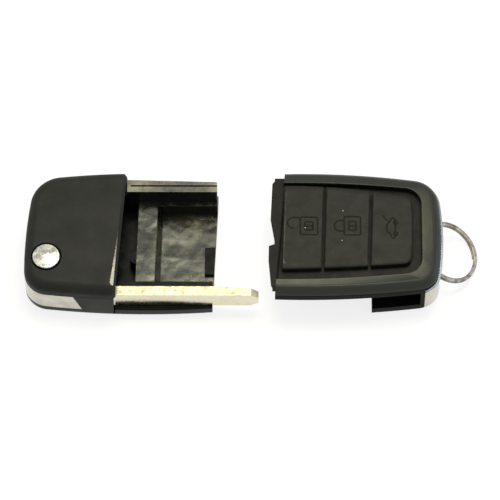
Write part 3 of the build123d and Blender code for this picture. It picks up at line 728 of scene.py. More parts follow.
def stroke(
    path: np.ndarray, width: float, height: float, closed: bool, floor: float, sunk: float = 0.12
) -> tuple[np.ndarray, np.ndarray]:
    """Raised line on a flat surface: a half ellipse carried along a path.

    Across the line the section is (width/2 cos a, height sin a) for a from 0 to 180 degrees, with
    its foot sunk below the surface. An open line shrinks to a point at both ends, as sqrt of a circle.

    Args:
        path: points along the line, two numbers each.
        width: width of the line.
        height: how far it stands proud.
        closed: whether the line ends where it starts.
        floor: height of the surface.
        sunk: how far its foot lies below the surface.

    Returns:
        Points and faces of the line.
    """
    ahead = np.roll(path, -1, axis=0) - np.roll(path, 1, axis=0)
    if not closed:
        ahead[0], ahead[-1] = path[1] - path[0], path[-1] - path[-2]
    ahead /= np.linalg.norm(ahead, axis=1, keepdims=True)
    across = np.stack((-ahead[:, 1], ahead[:, 0]), axis=1)
    angles = np.linspace(0, math.pi, 9)
    side = np.concatenate((np.cos(angles), [-1.0, 1.0])) * width / 2
    rise = np.concatenate((np.sin(angles) * height, [-sunk, -sunk]))
    size = np.ones(len(path))
    if not closed:
        run = np.concatenate(([0], np.cumsum(np.linalg.norm(np.diff(path, axis=0), axis=1))))
        from_end = np.minimum(run, run[-1] - run) / (width / 2)
        size = np.sqrt(np.clip(1 - (1 - np.clip(from_end, 0, 1)) ** 2, 0, 1))
    points = np.zeros((len(path), len(side), 3))
    points[:, :, :2] = path[:, None, :] + across[:, None, :] * (side[None, :, None] * size[:, None, None])
    points[:, :, 2] = floor + rise[None, :] * size[:, None]
    return points.reshape(-1, 3), grid_faces(len(path), len(side), closed, True)


def rounded_box(low: Point, high: Point) -> np.ndarray:
    """Rectangle between two corners, itself with rounded corners."""
    corners = (low, (high[0], low[1]), high, (low[0], high[1]))
    return bowed_loop(corners, (0,) * 4, (0.5,) * 4, 10, 6)


def even_steps(path: np.ndarray, step: float = 0.08) -> np.ndarray:
    """Open line resampled evenly, so that its ends can round off.

    Args:
        path: points along the line.
        step: distance between the new points.

    Returns:
        Evenly spaced points.
    """
    run = np.concatenate(([0], np.cumsum(np.linalg.norm(np.diff(path, axis=0), axis=1))))
    places = np.linspace(0, run[-1], max(8, int(run[-1] / step)))
    return np.stack((np.interp(places, run, path[:, 0]), np.interp(places, run, path[:, 1])), axis=1)


def rounded_corners(path: np.ndarray) -> np.ndarray:
    """Closed line through the middles of the sides, with its corners cut by a quadratic.

    Each corner becomes (1-u)^2 a + 2u(1-u) corner + u^2 b between the middles a and b of its sides.

    Args:
        path: corner points.

    Returns:
        Points of the rounded loop.
    """
    before = (np.roll(path, 1, axis=0) + path) / 2
    after = (np.roll(path, -1, axis=0) + path) / 2
    u = np.linspace(0, 1, 7)[None, :-1, None]
    curve = (1 - u) ** 2 * before[:, None] + 2 * u * (1 - u) * path[:, None] + u**2 * after[:, None]
    return curve.reshape(-1, 2)


def join_parts(parts: Sequence[tuple[np.ndarray, np.ndarray]]) -> tuple[np.ndarray, np.ndarray]:
    """Points and faces of several parts as one.

    Args:
        parts: points and faces of each part.

    Returns:
        All points and all faces.
    """
    points, faces, count = [], [], 0
    for part_points, part_faces in parts:
        points.append(part_points)
        faces.append(part_faces + count)
        count += len(part_points)
    return np.concatenate(points), np.concatenate(faces)


def circle_meeting(one: np.ndarray, reach: float, two: np.ndarray, far: float, near: Point) -> np.ndarray:
    """Point at one distance from a point and another from a second, the one nearer to a third.

    Args:
        one: first centre.
        reach: distance from it.
        two: second centre.
        far: distance from that.
        near: picks between the two answers.

    Returns:
        The point.
    """
    gap = two - one
    length = float(np.linalg.norm(gap))
    along = (reach**2 - far**2 + length**2) / (2 * length)
    aside = math.sqrt(max(0.0, reach**2 - along**2))
    base = one + gap * along / length
    across = np.array((-gap[1], gap[0])) * aside / length
    return min((base + across, base - across), key=lambda spot: float(np.linalg.norm(spot - near)))


def revolve(profile: np.ndarray, steps: int) -> tuple[np.ndarray, np.ndarray]:
    """Turn a profile of radius and height about the Z axis.

    Args:
        profile: points of radius and height; its ends on the axis close the shape.
        steps: number of steps in the full turn.

    Returns:
        Points and faces.
    """
    angles = np.linspace(0, 2 * math.pi, steps, endpoint=False)
    points = np.zeros((len(profile), steps, 3))
    points[:, :, 0] = profile[:, None, 0] * np.cos(angles)
    points[:, :, 1] = profile[:, None, 0] * np.sin(angles)
    points[:, :, 2] = profile[:, None, 1]
    return points.reshape(-1, 3), grid_faces(len(profile), steps, False, True)


def mating_place(y: float) -> float:
    """X of the raked line where the two halves meet, at a given Y."""
    return MATING_X + math.tan(math.radians(MATING_RAKE)) * (y - SHELL_MIDDLE)


@dataclass
class HeadHalf:
    """Head half: cover, lower shell with its tray, and the release button.

    The bevel is the glinting wedge off the cover's edge: from nothing at bevel_back it grows to
    bevel_width and bevel_drop at bevel_front. Its faces lie no further than bevel_reach before
    MATING_X, with a normal's Z in bevel_rise and its X above bevel_lean. strip_left, strip_top and
    strip_rake are the place, height and lean of the strip's edge beside the boss, and strip_match is
    how near to that height a face counts. rail_rise and tray_rise are the least Z of the normals of
    the rail and the tray. The catch stands on catch_base between its low and high corners.
    """

    cover_top: float = 16.0
    bevel_back: float = 23.0
    bevel_front: float = -6.0
    bevel_width: float = 1.6
    bevel_drop: float = 0.26
    bevel_reach: float = 4.0
    bevel_rise: Pair = (0.9, 0.9995)
    bevel_lean: float = 0.05
    strip_left: float = 25.8
    strip_top: float = 6.8
    strip_rake: float = 1.7
    strip_match: float = 0.1
    rail_front: float = 21.0
    rail_rise: float = 0.5
    tray_front: float = -3.2
    tray_rise: float = 0.15
    catch_base: float = 2.0
    catch_low: Point = (46.0, 0.6)
    catch_high: Point = (50.0, 10.0)
    button_radius: float = 3.95
    button_edge: float = 16.45
    button_dome: float = 0.55
    button_rim: float = 0.45
    flange_radius: float = 5.2
    flange_low: float = 13.3
    flange_high: float = 14.1
    stem_radius: float = 2.2
    stem_low: float = 3.7
    screw_radius: float = 0.9
    screw_top: float = 9.7

    def carried(self) -> tuple[CarriedNode, ...]:
        """Nodes of the head that keep their CAD shape, but for its base and cover."""
        return (
            CarriedNode("back_cap", "head", "base_plastic", POLISHED_ABS, edge_break=0.08),
            CarriedNode("flip_spring", "head", "spring_steel", SPRING_STEEL),
            CarriedNode("button_washer", "button", "zinc_steel", ZINC_STEEL),
            CarriedNode("button_screw", "button", "zinc_steel", ZINC_STEEL),
        )

    def build(self) -> None:
        """Make the head's own pieces."""
        cover = CarriedNode(
            "head_cover", "head", "cover_plastic", GRAINED_ABS, edge_break=0.12, shape=self.cut_cover
        ).dress()
        # The wedge's pale gold colour is a painted glint.
        paint_faces(cover, PAINTED_GLINT_EDGE_ABS, self.on_bevel)
        base = CarriedNode(
            "head_base", "head", "base_plastic", POLISHED_ABS, edge_break=0.1, shape=self.part_boss
        ).dress()
        paint_faces(base, TRAY_ABS, self.in_tray)
        # The rail's top is painted paler: a painted highlight.
        paint_faces(base, PAINTED_SHEEN_RAIL_ABS, self.on_rail)
        self.build_button()

    def cut_cover(self, work: bmesh.types.BMesh) -> None:
        """Cut a glinting wedge off the cover's edge.

        The wedge's plane holds a line on the top that leaves the edge at bevel_back, and a point
        bevel_drop down the edge at bevel_front.

        Args:
            work: the cover's copy.
        """
        edge_x = mating_place(self.bevel_front)
        spots = (
            (mating_place(self.bevel_back), self.bevel_back, self.cover_top),
            (edge_x - self.bevel_width, self.bevel_front, self.cover_top),
            (edge_x, self.bevel_front, self.cover_top - self.bevel_drop),
        )
        first, second, third = (Vector(spot) for spot in spots)
        normal = (second - first).cross(third - first).normalized()
        if normal.z < 0:
            normal.negate()
        bmesh.ops.holes_fill(work, edges=part_along(work, first, normal, clear=True), sides=0)

    def on_bevel(self, centre: Vector, normal: Vector) -> bool:
        """Whether a face of the cover is the wedge off its edge: nearly level, and leaning to the tray."""
        level = self.bevel_rise[0] < normal.z < self.bevel_rise[1]
        return level and centre.x > MATING_X - self.bevel_reach and normal.x > self.bevel_lean

    def part_boss(self, work: bmesh.types.BMesh) -> None:
        """Divide the round boss from the strip beside it, along the strip's leaning edge.

        Args:
            work: the base's copy.
        """
        lean = math.radians(self.strip_rake)
        across = Vector((math.cos(lean), -math.sin(lean), 0))
        part_along(work, Vector((self.strip_left, SHELL_MIDDLE, 0)), across)

    def in_tray(self, centre: Vector, normal: Vector) -> bool:
        """Whether a face of the base looks up out of the tray, its catch and boss left out.

        Args:
            centre: the face's centre, in millimetres.
            normal: its normal.

        Returns:
            True for a face of the tray.
        """
        in_catch = all(a < c < b for a, c, b in zip(self.catch_low, centre.xy, self.catch_high))
        edge = self.strip_left + math.tan(math.radians(self.strip_rake)) * (centre.y - SHELL_MIDDLE)
        in_boss = abs(centre.z - self.strip_top) < self.strip_match and centre.x < edge
        if (in_catch and centre.z > self.catch_base) or in_boss:
            return False
        return centre.x > MATING_X and centre.y > self.tray_front and normal.z > self.tray_rise

    def on_rail(self, centre: Vector, normal: Vector) -> bool:
        """Whether a face of the base is the top of the rail along the tray's back."""
        return centre.x > MATING_X and centre.y > self.rail_front and normal.z > self.rail_rise

    def build_button(self) -> None:
        """Release button: profile of bore, stem, flange, rim and dome, turned about the pivot.

        The dome is a circle's arc from the rim to its top, z = top - R + sqrt(R^2 - r^2).
        The rim between side and dome is a quarter circle.
        """
        rim = self.button_rim
        flat = self.button_radius - rim
        dome_radius = (flat**2 + self.button_dome**2) / (2 * self.button_dome)
        reach = np.linspace(flat, 0, 24)
        dome = self.button_edge + self.button_dome - dome_radius + np.sqrt(dome_radius**2 - reach**2)
        turn = np.linspace(0, math.pi / 2, 8)[:-1]
        corner = unit_circle(turn) * rim + (flat, self.button_edge - rim)
        foot = np.array(
            (
                (0, self.screw_top),
                (self.screw_radius, self.screw_top),
                (self.screw_radius, self.stem_low),
                (self.stem_radius, self.stem_low),
                (self.stem_radius, self.flange_low),
                (self.flange_radius, self.flange_low),
                (self.flange_radius, self.flange_high),
                (self.button_radius, self.flange_high),
            )
        )
        profile = np.concatenate((foot, corner, np.stack((reach, dome), axis=1)))
        mesh = make_mesh("push_button", *revolve(profile, 128))
        button = make_piece(
            "push_button", mesh, BUTTON_CHROME, "button", ("release_button",)
        )
        # Below the cover's top the button is painted black: painted shade in the gap round it.
        paint_faces(button, POLISHED_ABS, lambda centre, normal: centre.z < self.cover_top)


@dataclass
class FlipBlade:
    """Folding blade with its hub, roll pin and chrome corner.

    The corner's chrome is painted black below painted_shade_below, as painted shade along its foot. tip_slope
    is the least X of the ground tip's normals and side_slope the least Y of the blank's sides.
    """

    painted_shade_below: float = 3.9
    tip_slope: float = 0.25
    side_slope: float = 0.7

    def carried(self) -> tuple[CarriedNode, ...]:
        """Nodes of the blade that keep their CAD shape."""
        return (
            CarriedNode("blade_hub", "blade", "base_plastic", POLISHED_ABS, edge_break=0.1),
            CarriedNode("blade_roll_pin", "blade", "spring_steel", SPRING_STEEL),
        )

    def build(self) -> None:
        """Dress the blank, its sides and dull ground tip painted paler as painted light, and the chrome
        corner, whose foot is painted black as painted shade.
        """
        blank = CarriedNode("key_blade", "blade", "blade_nickel", BLADE_NICKEL, edge_break=0.22).dress()
        # The blank's sides are painted paler than its faces: painted light.
        paint_faces(blank, PAINTED_LIGHT_SIDE_NICKEL, lambda centre, normal: abs(normal.y) > self.side_slope)
        # The ground tip is painted paler than the blank: painted light.
        paint_faces(blank, PAINTED_LIGHT_TIP_NICKEL, lambda centre, normal: normal.x > self.tip_slope)
        trim = CarriedNode(
            "hub_trim", "blade", "trim_chrome", TRIM_CHROME, edge_break=0.1, shape=self.part_foot
        ).dress()
        # The chrome's foot takes the black plastic: painted shade.
        paint_faces(trim, POLISHED_ABS, lambda centre, normal: centre.z < self.painted_shade_below)

    def part_foot(self, work: bmesh.types.BMesh) -> None:
        """Divide the corner's faces at the height below which its chrome is painted black as shade."""
        part_along(work, Vector((0, 0, self.painted_shade_below)), Vector((0, 0, 1)))


@dataclass(frozen=True)
class Padlock:
    """Padlock on a key, lying on its side, its shackle towards the head, in the closed shell's place.

    right, width, low and high give its body. The shackle's arc has the radius bend, and its centre
    stands off the body by reach and aside by swing. A plate is inset from the body.
    """

    right: float
    width: float
    low: float
    high: float
    reach: float
    swing: float = 0.0
    is_open: bool = False
    bend: float = 1.75
    plate_inset: Pair = (1.3, 1.5)

    def lines(self) -> list[tuple[np.ndarray, bool]]:
        """Lines of its body, plate and shackle, and of the bar in its plate.

        Returns:
            Paths with whether each is closed.
        """
        left, middle = self.right - self.width, (self.low + self.high) / 2
        along, across = self.plate_inset
        body = rounded_box((left, self.low), (self.right, self.high))
        plate = rounded_box((left + along, self.low + across), (self.right - along, self.high - across))
        angles = np.linspace(math.pi / 2, 3 * math.pi / 2, 19)
        centre = (left - self.reach, middle + self.swing)
        arc = unit_circle(angles) * self.bend + centre
        foot = [] if self.is_open else [(left, middle - self.bend)]
        shackle = np.array([(left, centre[1] + self.bend), *arc, *foot])
        bar = np.array(((left + across, middle), (self.right - across, middle)))
        return [(body, True), (plate, True), (even_steps(shackle), False), (even_steps(bar), False)]


@dataclass(frozen=True)
class OpenBoot:
    """Car on a key, seen from its side with its boot lid up, its roof towards the head.

    It is drawn with its nose at 0 along the first axis and the road at 0 on the second. road and
    nose are where these lie on the closed shell, along X and Y.
    """

    road: float = 55.3
    nose: float = 6.0
    roof: tuple[Point, ...] = (
        (0, 0.9), (0.1, 1.6), (1.4, 2), (2.3, 3.1), (4.6, 3.2), (5.6, 2.1), (6.6, 1.9), (6.8, 0.9)
    )
    sill: tuple[Point, ...] = ((5.9, 0.7), (3.4, 0.7), (0.9, 0.7))
    lid: tuple[Point, ...] = ((5.5, 2.6), (6.4, 3.5), (7.6, 4.1))
    wheels: tuple[Point, ...] = ((1.6, 0.55), (5.2, 0.55))
    wheel_radius: float = 0.55

    def lines(self) -> list[tuple[np.ndarray, bool]]:
        """Lines of its outline, lid and wheels.

        Returns:
            Paths with whether each is closed.
        """
        angles = np.linspace(0, 2 * math.pi, 17)[:-1]
        wheel = unit_circle(angles) * self.wheel_radius
        outline = rounded_corners(np.array(self.roof + self.sill))
        drawn = [(outline, True), (even_steps(np.array(self.lid)), False)]
        drawn += [(wheel + axle, True) for axle in self.wheels]
        return [(np.stack((self.road - p[:, 1], self.nose + p[:, 0]), axis=1), closed) for p, closed in drawn]


class KeyMark(Enum):
    """Symbol moulded on a key."""

    UNLOCK = "unlock"
    LOCK = "lock"
    BOOT = "boot"


SYMBOLS: dict[KeyMark, Padlock | OpenBoot] = {
    KeyMark.UNLOCK: Padlock(right=32.2, width=5.0, low=7.2, high=12.9, reach=1.9, swing=1.0, is_open=True),
    KeyMark.LOCK: Padlock(right=44.6, width=4.7, low=7.1, high=13.1, reach=1.1),
    KeyMark.BOOT: OpenBoot(),
}


@dataclass
class Keypad:
    """Three silicone keys with their moulded symbols, where the pulled-off remote lies.

    The keypad reaches from left to right between its back and front arcs, and the dividers lean by
    rake degrees. edge_beside and edge_ends are the widths of a key's rolled edge and edge_drop its
    depth. Wear is full at the left end, fades over worn_reach, and is worn_elsewhere on the other
    edges. plunger is the size along X and Y and the foot's height of the plunger under each key.
    """

    left: float = 22.2
    right: float = 59.45
    past_border: float = 9.0
    rake: float = 1.7
    back: Arc = ((22.645, 23.4), (40.825, 22.5), (59.45, 19.6))
    front: Arc = ((21.84, -3.8), (40.825, -3.1), (59.2, -1.8))
    end_bow: float = 0.35
    end_corner: float = 2.2
    left_corner: float = 0.7
    inner_corner: float = 0.3
    dividers: Pair = (34.008, 47.418)
    divider_width: float = 0.7
    low: float = 14.6
    high: float = 16.2
    edge_beside: float = 0.5
    edge_ends: float = 1.9
    edge_drop: float = 0.42
    rubbed_share: float = 0.93
    worn_reach: float = 1.6
    worn_elsewhere: float = 0.55
    plunger: Triple = (6.0, 9.0, 13.55)
    plunger_corner: float = 0.4
    plunger_middle: float = 9.5
    line_width: float = 0.46
    line_height: float = 0.1
    pips: tuple[Point, ...] = ((39.5, 15.0), (39.2, 5.3), (28.6, 9.4))
    pip_radius: float = 0.2
    pip_foot: float = -0.6

    def carried(self) -> tuple[CarriedNode, ...]:
        """Nodes of the keypad that keep their CAD shape."""
        return (CarriedNode("keypad_mat", "remote", "mat_rubber", MAT_SILICONE),)

    def build(self) -> None:
        """Make the keys and their symbols."""
        edges = (self.left, *self.dividers, self.right)
        for mark, low_x, high_x in zip(KeyMark, edges[:-1], edges[1:]):
            self.build_key(mark, low_x, high_x)
            self.build_symbol(mark, low_x, high_x)

    def corner(self, x: float, arc: Arc) -> Point:
        """Where the raked line through x at the shell's middle meets an edge of the keypad.

        Args:
            x: the line's X at the shell's middle.
            arc: start, middle and end of the edge.

        Returns:
            The point.
        """
        leaning = x + math.tan(math.radians(self.rake)) * (arc[1][1] - SHELL_MIDDLE)
        place = min(max(leaning, arc[0][0]), arc[2][0])
        return (place, arc_height(arc, place))

    def key_loop(self, low_x: float, high_x: float, beside: float = 0.0, ends: float = 0.0) -> np.ndarray:
        """Outline of one key: its share of the keypad between two raked lines.

        Args:
            low_x: X of the line on its left, at the middle of the shell.
            high_x: X of the line on its right.
            beside: how far inwards its left and right sides lie.
            ends: how far inwards its front and back sides lie.

        Returns:
            Closed outline, anticlockwise, in the closed shell's place.
        """
        first, last = low_x == self.left, high_x == self.right
        low = low_x + (-self.past_border if first else self.divider_width / 2)
        high = high_x + (self.past_border if last else -self.divider_width / 2)
        corners = [self.corner(low, self.front), self.corner(high, self.front)]
        corners += [self.corner(high, self.back), self.corner(low, self.back)]
        bows = []
        for arc, one, two, side in ((self.front, 0, 1, -1), (self.back, 2, 3, 1)):
            middle = (corners[one][0] + corners[two][0]) / 2
            bows.append(side * (arc_height(arc, middle) - (corners[one][1] + corners[two][1]) / 2))
        shifts = ((beside, ends), (-beside, ends), (-beside, -ends), (beside, -ends))
        corners = [(x + along, y + across) for (x, y), (along, across) in zip(corners, shifts)]
        left = self.left_corner if first else self.inner_corner
        right = self.end_corner - (beside + ends) / 2 if last else self.inner_corner
        return bowed_loop(
            corners, (bows[0], self.end_bow if last else 0.0, bows[1], 0.0), (left, right, right, left)
        )

    def build_key(self, mark: KeyMark, low_x: float, high_x: float) -> None:
        """One key: rings from its plunger out to its foot, up its side, round its edge and over its top.

        The edge is a quarter ellipse, wider at the front and back than beside the dividers, and the
        top is flat. The "wear" attribute is high on the edge's inner rings and fades out on the top at
        rubbed_share of the way out from the middle, and is highest at the first key's left end.

        Args:
            mark: symbol of the key.
            low_x: X of its left border.
            high_x: X of its right border.
        """
        loop = self.key_loop(low_x, high_x)
        centre = np.array(((low_x + high_x) / 2, self.plunger_middle))
        half = np.array(self.plunger[:2]) / 2
        box = [tuple(centre + half * s) for s in ((-1, -1), (1, -1), (1, 1), (-1, 1))]
        peg = bowed_loop(box, (0,) * 4, (self.plunger_corner,) * 4)
        side_top = self.high - self.edge_drop
        rings = [at_height(np.broadcast_to(centre, peg.shape), self.plunger[2])]
        rings += [at_height(peg, height) for height in (self.plunger[2], self.low)]
        rings += [at_height(loop, height) for height in (self.low, side_top)]
        wear = [0.0] * len(rings)
        for angle in np.linspace(0, math.pi / 2, 11)[1:]:
            reach = 1 - math.cos(angle)
            ring = self.key_loop(low_x, high_x, self.edge_beside * reach, self.edge_ends * reach)
            rings.append(at_height(ring, side_top + self.edge_drop * math.sin(angle)))
            wear.append(reach)
        inner = rings[-1][:, :2]
        for share in (self.rubbed_share, 0.0):
            rings.append(at_height(centre + (inner - centre) * share, self.high))
            wear.append(0.0)
        points = np.stack(rings)
        points[:, :, 0] += PULL_APART
        left_end = np.exp(-(((loop[:, 0] - loop[:, 0].min()) / self.worn_reach) ** 2))
        rubbed = np.maximum(left_end if low_x == self.left else 0.0, np.full(len(loop), self.worn_elsewhere))
        wear_values = (np.array(wear)[:, None] * rubbed[None, :]).astype(np.float32).ravel()
        faces = grid_faces(len(rings), len(loop), False, True)
        name = f"{mark.value}_key"
        mesh = make_mesh(f"{name}_cap", points, faces, wear_values)
        make_piece(f"{name}_cap", mesh, KEY_SILICONE, name, (f"key_{mark.value}",), 50.0)

    def build_symbol(self, mark: KeyMark, low_x: float, high_x: float) -> None:
        """Raised lines of a key's symbol and its pips, drawn in the closed shell's place.

        Args:
            mark: symbol to draw.
            low_x: X of the key's left border.
            high_x: X of its right border.
        """
        floor, width, height = self.high, self.line_width, self.line_height
        lines = SYMBOLS[mark].lines()
        points, faces = join_parts([stroke(path, width, height, closed, floor) for path, closed in lines])
        points[:, 0] += PULL_APART
        mesh = make_mesh(f"{mark.value}_symbol", points, faces)
        make_piece(f"{mark.value}_symbol", mesh, SYMBOL_SILICONE, f"{mark.value}_key")
        turn = np.linspace(self.pip_foot, math.pi / 2, 8)
        dome = unit_circle(turn) * self.pip_radius
        profile = np.concatenate((((0.0, dome[0, 1]),), dome))
        pips = []
        for x, y in self.pips:
            if low_x < x < high_x:
                pip_points, pip_faces = revolve(profile, 16)
                pips.append((pip_points + (x + PULL_APART, y, floor), pip_faces))
        if pips:
            mesh = make_mesh(f"{mark.value}_pips", *join_parts(pips))
            # The pips' pale colour is a painted highlight.
            make_piece(f"{mark.value}_pips", mesh, PAINTED_GLINT_PIP_SILICONE, f"{mark.value}_key")


@dataclass(frozen=True)
class Rim:
    """U-shaped outline on the remote: back, end and front circles with two rounded corners.

    Each circle is given by three points on it, so a straight side has its middle a hair outwards.
    """

    back: Arc
    end: Arc
    front: Arc
    radii: Pair

    def trace(self, inset: float, steps: int = 28) -> np.ndarray:
        """Points of the outline moved inwards, from the mating line round the far end and back.

        Moving it inwards shortens every radius and keeps every centre. A corner's centre lies as far
        from each neighbouring circle's centre as that circle's radius less the corner's.

        Args:
            inset: how far inwards; less than 0 is outwards.
            steps: points along each of the five arcs.

        Returns:
            Array of points, two numbers each.
        """
        (back, back_radius), (end, end_radius), (front, front_radius) = (
            three_point_circle(arc) for arc in (self.back, self.end, self.front)
        )
        first, second = self.radii
        one = circle_meeting(back, back_radius - first, end, end_radius - first, self.end[0])
        two = circle_meeting(end, end_radius - second, front, front_radius - second, self.end[2])
        joins = ((one, back), (one, end), (two, end), (two, front))
        turns = [math.atan2(*(spot - centre)[::-1]) for spot, centre in joins]
        start = self.mating_turn(back, back_radius - inset, 1)
        stop = self.mating_turn(front, front_radius - inset, -1)
        arcs = (
            (back, back_radius, start, turns[0]),
            (one, first, turns[0], turns[1]),
            (end, end_radius, turns[1], turns[2]),
            (two, second, turns[2], turns[3]),
            (front, front_radius, turns[3], stop),
        )
        points = []
        for centre, radius, low, high in arcs:
            points.append(centre + (radius - inset) * unit_circle(np.linspace(low, high, steps)))
        return np.concatenate(points)

    @staticmethod
    def mating_turn(centre: np.ndarray, radius: float, side: int) -> float:
        """Angle at which a circle crosses the mating line, found in a few repeats.

        Args:
            centre: the circle's centre.
            radius: its radius.
            side: 1 for the back, -1 for the front.

        Returns:
            The angle in radians.
        """
        angle = side * math.pi / 2
        for _ in range(5):
            x = mating_place(float(centre[1] + radius * math.sin(angle)))
            angle = side * math.acos((x - centre[0]) / radius)
        return angle


@dataclass
class RemoteHalf:
    """Remote half: top case with its crowned frame, plate, lower case, chrome end and ring post.

    The case's edge is a roll of roll_radius about roll_middle. The crown leaves it at join_inset,
    proud of it by a hair, with a hem tucked in and down. Its rise bends down by fall, it turns into
    the window over lip, reaches past the case's wall by lap and ends at foot. The rib stays clear of
    the window's front and back by rib_ends. The bead has its back bead_sunk into the case and runs
    out over bead_taper of its length. side_slope is the least Z of a normal that isn't a side's.
    """

    shell: Rim = Rim(
        ((-3.85, 26.2), (27.92, 28.4), (66.45, 25.3)),
        ((66.45, 25.3), (68.1, 8.4), (66.45, -8.7)),
        ((66.45, -8.7), (27.92, -11.5), (-6.2, -9.2)),
        (8.0, 6.5),
    )
    window: Rim = Rim(
        ((8.1, 23.65), (34.6, 24.0), (62.2, 21.9)),
        ((62.2, 21.9), (62.2001, 8.5), (62.2, -4.8)),
        ((62.2, -4.8), (34.6, -6.9), (8.1, -6.55)),
        (5.0, 5.0),
    )
    roll_radius: float = 3.0
    roll_middle: float = 13.0
    join_inset: float = 2.479
    hem: Pair = (0.2, 0.15)
    proud: float = 0.004
    fall: float = 0.0104
    lip: float = 0.22
    lap: float = 0.02
    foot: float = 15.3
    crown_shift: float = 0.01
    plate_top: float = 14.1
    rib_width: float = 0.5
    rib_height: float = 1.1
    rib_inset: float = 0.26
    rib_ends: Pair = (0.3, 0.5)
    bead_proud: float = 0.5
    bead_middle: float = 11.95
    bead_height: float = 1.2
    bead_sunk: float = 0.2
    bead_taper: float = 0.12
    side_slope: float = 0.22
    bead_start: float = 63.0

    def carried(self) -> tuple[CarriedNode, ...]:
        """Nodes of the remote that keep their CAD shape."""
        return (
            CarriedNode("keypad_frame", "remote", "case_plastic", PLATE_ABS, edge_break=0.08),
            CarriedNode("end_trim", "remote", "trim_chrome", TRIM_CHROME, edge_break=0.08),
            CarriedNode("ring_post", "remote", "zinc_steel", ZINC_STEEL),
        )

    def build(self) -> None:
        """Dress the case with its matt sides; make the crowned frame, the end's bead and the rib."""
        top = CarriedNode("remote_top_case", "remote", "case_plastic", SATIN_ABS, edge_break=0.14).dress()
        low = CarriedNode("remote_lower_case", "remote", "base_plastic", POLISHED_ABS, edge_break=0.1).dress()
        for case in (top, low):
            paint_faces(case, SIDE_ABS, lambda centre, normal: normal.z < self.side_slope)
        self.build_crown()
        self.build_bead()
        self.build_rib()

    def build_rib(self) -> None:
        """Rib on the plate along the mating line: a half ellipse carried along a straight path."""
        front, back = self.window.front[1][1] + self.rib_ends[0], self.window.back[1][1] - self.rib_ends[1]
        path = np.array([(mating_place(y) + self.rib_inset, y) for y in np.linspace(front, back, 60)])
        points, faces = stroke(path, self.rib_width, self.rib_height, False, self.plate_top)
        points[:, 0] += PULL_APART
        make_piece("plate_rib", make_mesh("plate_rib", points, faces), KEY_SILICONE, "remote")

    def build_bead(self) -> None:
        """Chrome bead under the case's rolled end: a half ellipse carried along the outline.

        It stands proud with sin a and spans bead_height with cos a, and shrinks to nothing at its ends.
        """
        line = self.shell.trace(0.0, 60)
        outward = self.shell.trace(-1.0, 60) - line
        kept = line[:, 0] > self.bead_start
        spots, outward = line[kept], outward[kept]
        turns = np.linspace(0, math.pi, 13)
        share = np.linspace(0, 1, len(spots))
        size = np.sqrt(np.clip(np.minimum(share, 1 - share) / self.bead_taper, 0, 1))[:, None]
        reach = size * np.concatenate((np.sin(turns) * self.bead_proud, [-self.bead_sunk] * 2))
        height = size * np.concatenate((np.cos(turns), [-1, 1])) * self.bead_height / 2
        points = np.zeros((*reach.shape, 3))
        points[:, :, :2] = spots[:, None] + outward[:, None] * reach[:, :, None]
        points[:, :, 2] = self.bead_middle + height
        points[:, :, 0] += PULL_APART
        mesh = make_mesh("trim_bead", points, grid_faces(*reach.shape, False, True))
        make_piece("trim_bead", mesh, BEAD_CHROME, "remote")

    def build_crown(self) -> None:
        """Skin on the frame round the keys, a little higher at the window, as a closed solid.

        It leaves the case's rolled edge at join_inset, at the roll's own height
        middle + sqrt(r^2 - (r - inset)^2) and slope, and rises with w * slope - fall * w^2, w being
        the way inwards. A quarter circle takes it down into the window, and its hem is tucked in.
        """
        aside = self.roll_radius - self.join_inset
        up = math.sqrt(self.roll_radius**2 - aside**2)
        join, slope = self.roll_middle + up, aside / up
        outer = self.shell.trace(self.join_inset)
        inner = self.window.trace(-self.lip)
        width = np.linalg.norm(inner - outer, axis=1)
        loops = [at_height(self.shell.trace(self.join_inset - self.hem[0]), join - self.hem[1])]
        for share in np.linspace(0, 1, 14):
            way = width * share
            height = join + self.proud + slope * way - self.fall * way**2
            loops.append(at_height(outer + (inner - outer) * share, height))
        edge = loops[-1][:, 2]
        for angle in np.linspace(0, math.pi / 2, 7)[1:]:
            loop = self.window.trace(-self.lip + (self.lip + self.lap) * math.sin(angle))
            loops.append(at_height(loop, edge - self.lip * (1 - math.cos(angle))))
        loops += [at_height(self.window.trace(inset), self.foot) for inset in (self.lap, -self.lip)]
        rows = np.stack(loops, axis=1)
        ends = [np.broadcast_to(row.mean(axis=0), row.shape)[None] for row in (rows[0], rows[-1])]
        points = np.concatenate((ends[0], rows, ends[1]))
        points[:, :, 0] += PULL_APART + self.crown_shift
        faces = grid_faces(len(points), len(loops), False, True)
        mesh = make_mesh("frame_crown", points, faces)
        make_piece("frame_crown", mesh, SATIN_ABS, "remote", sharp_angle=50)


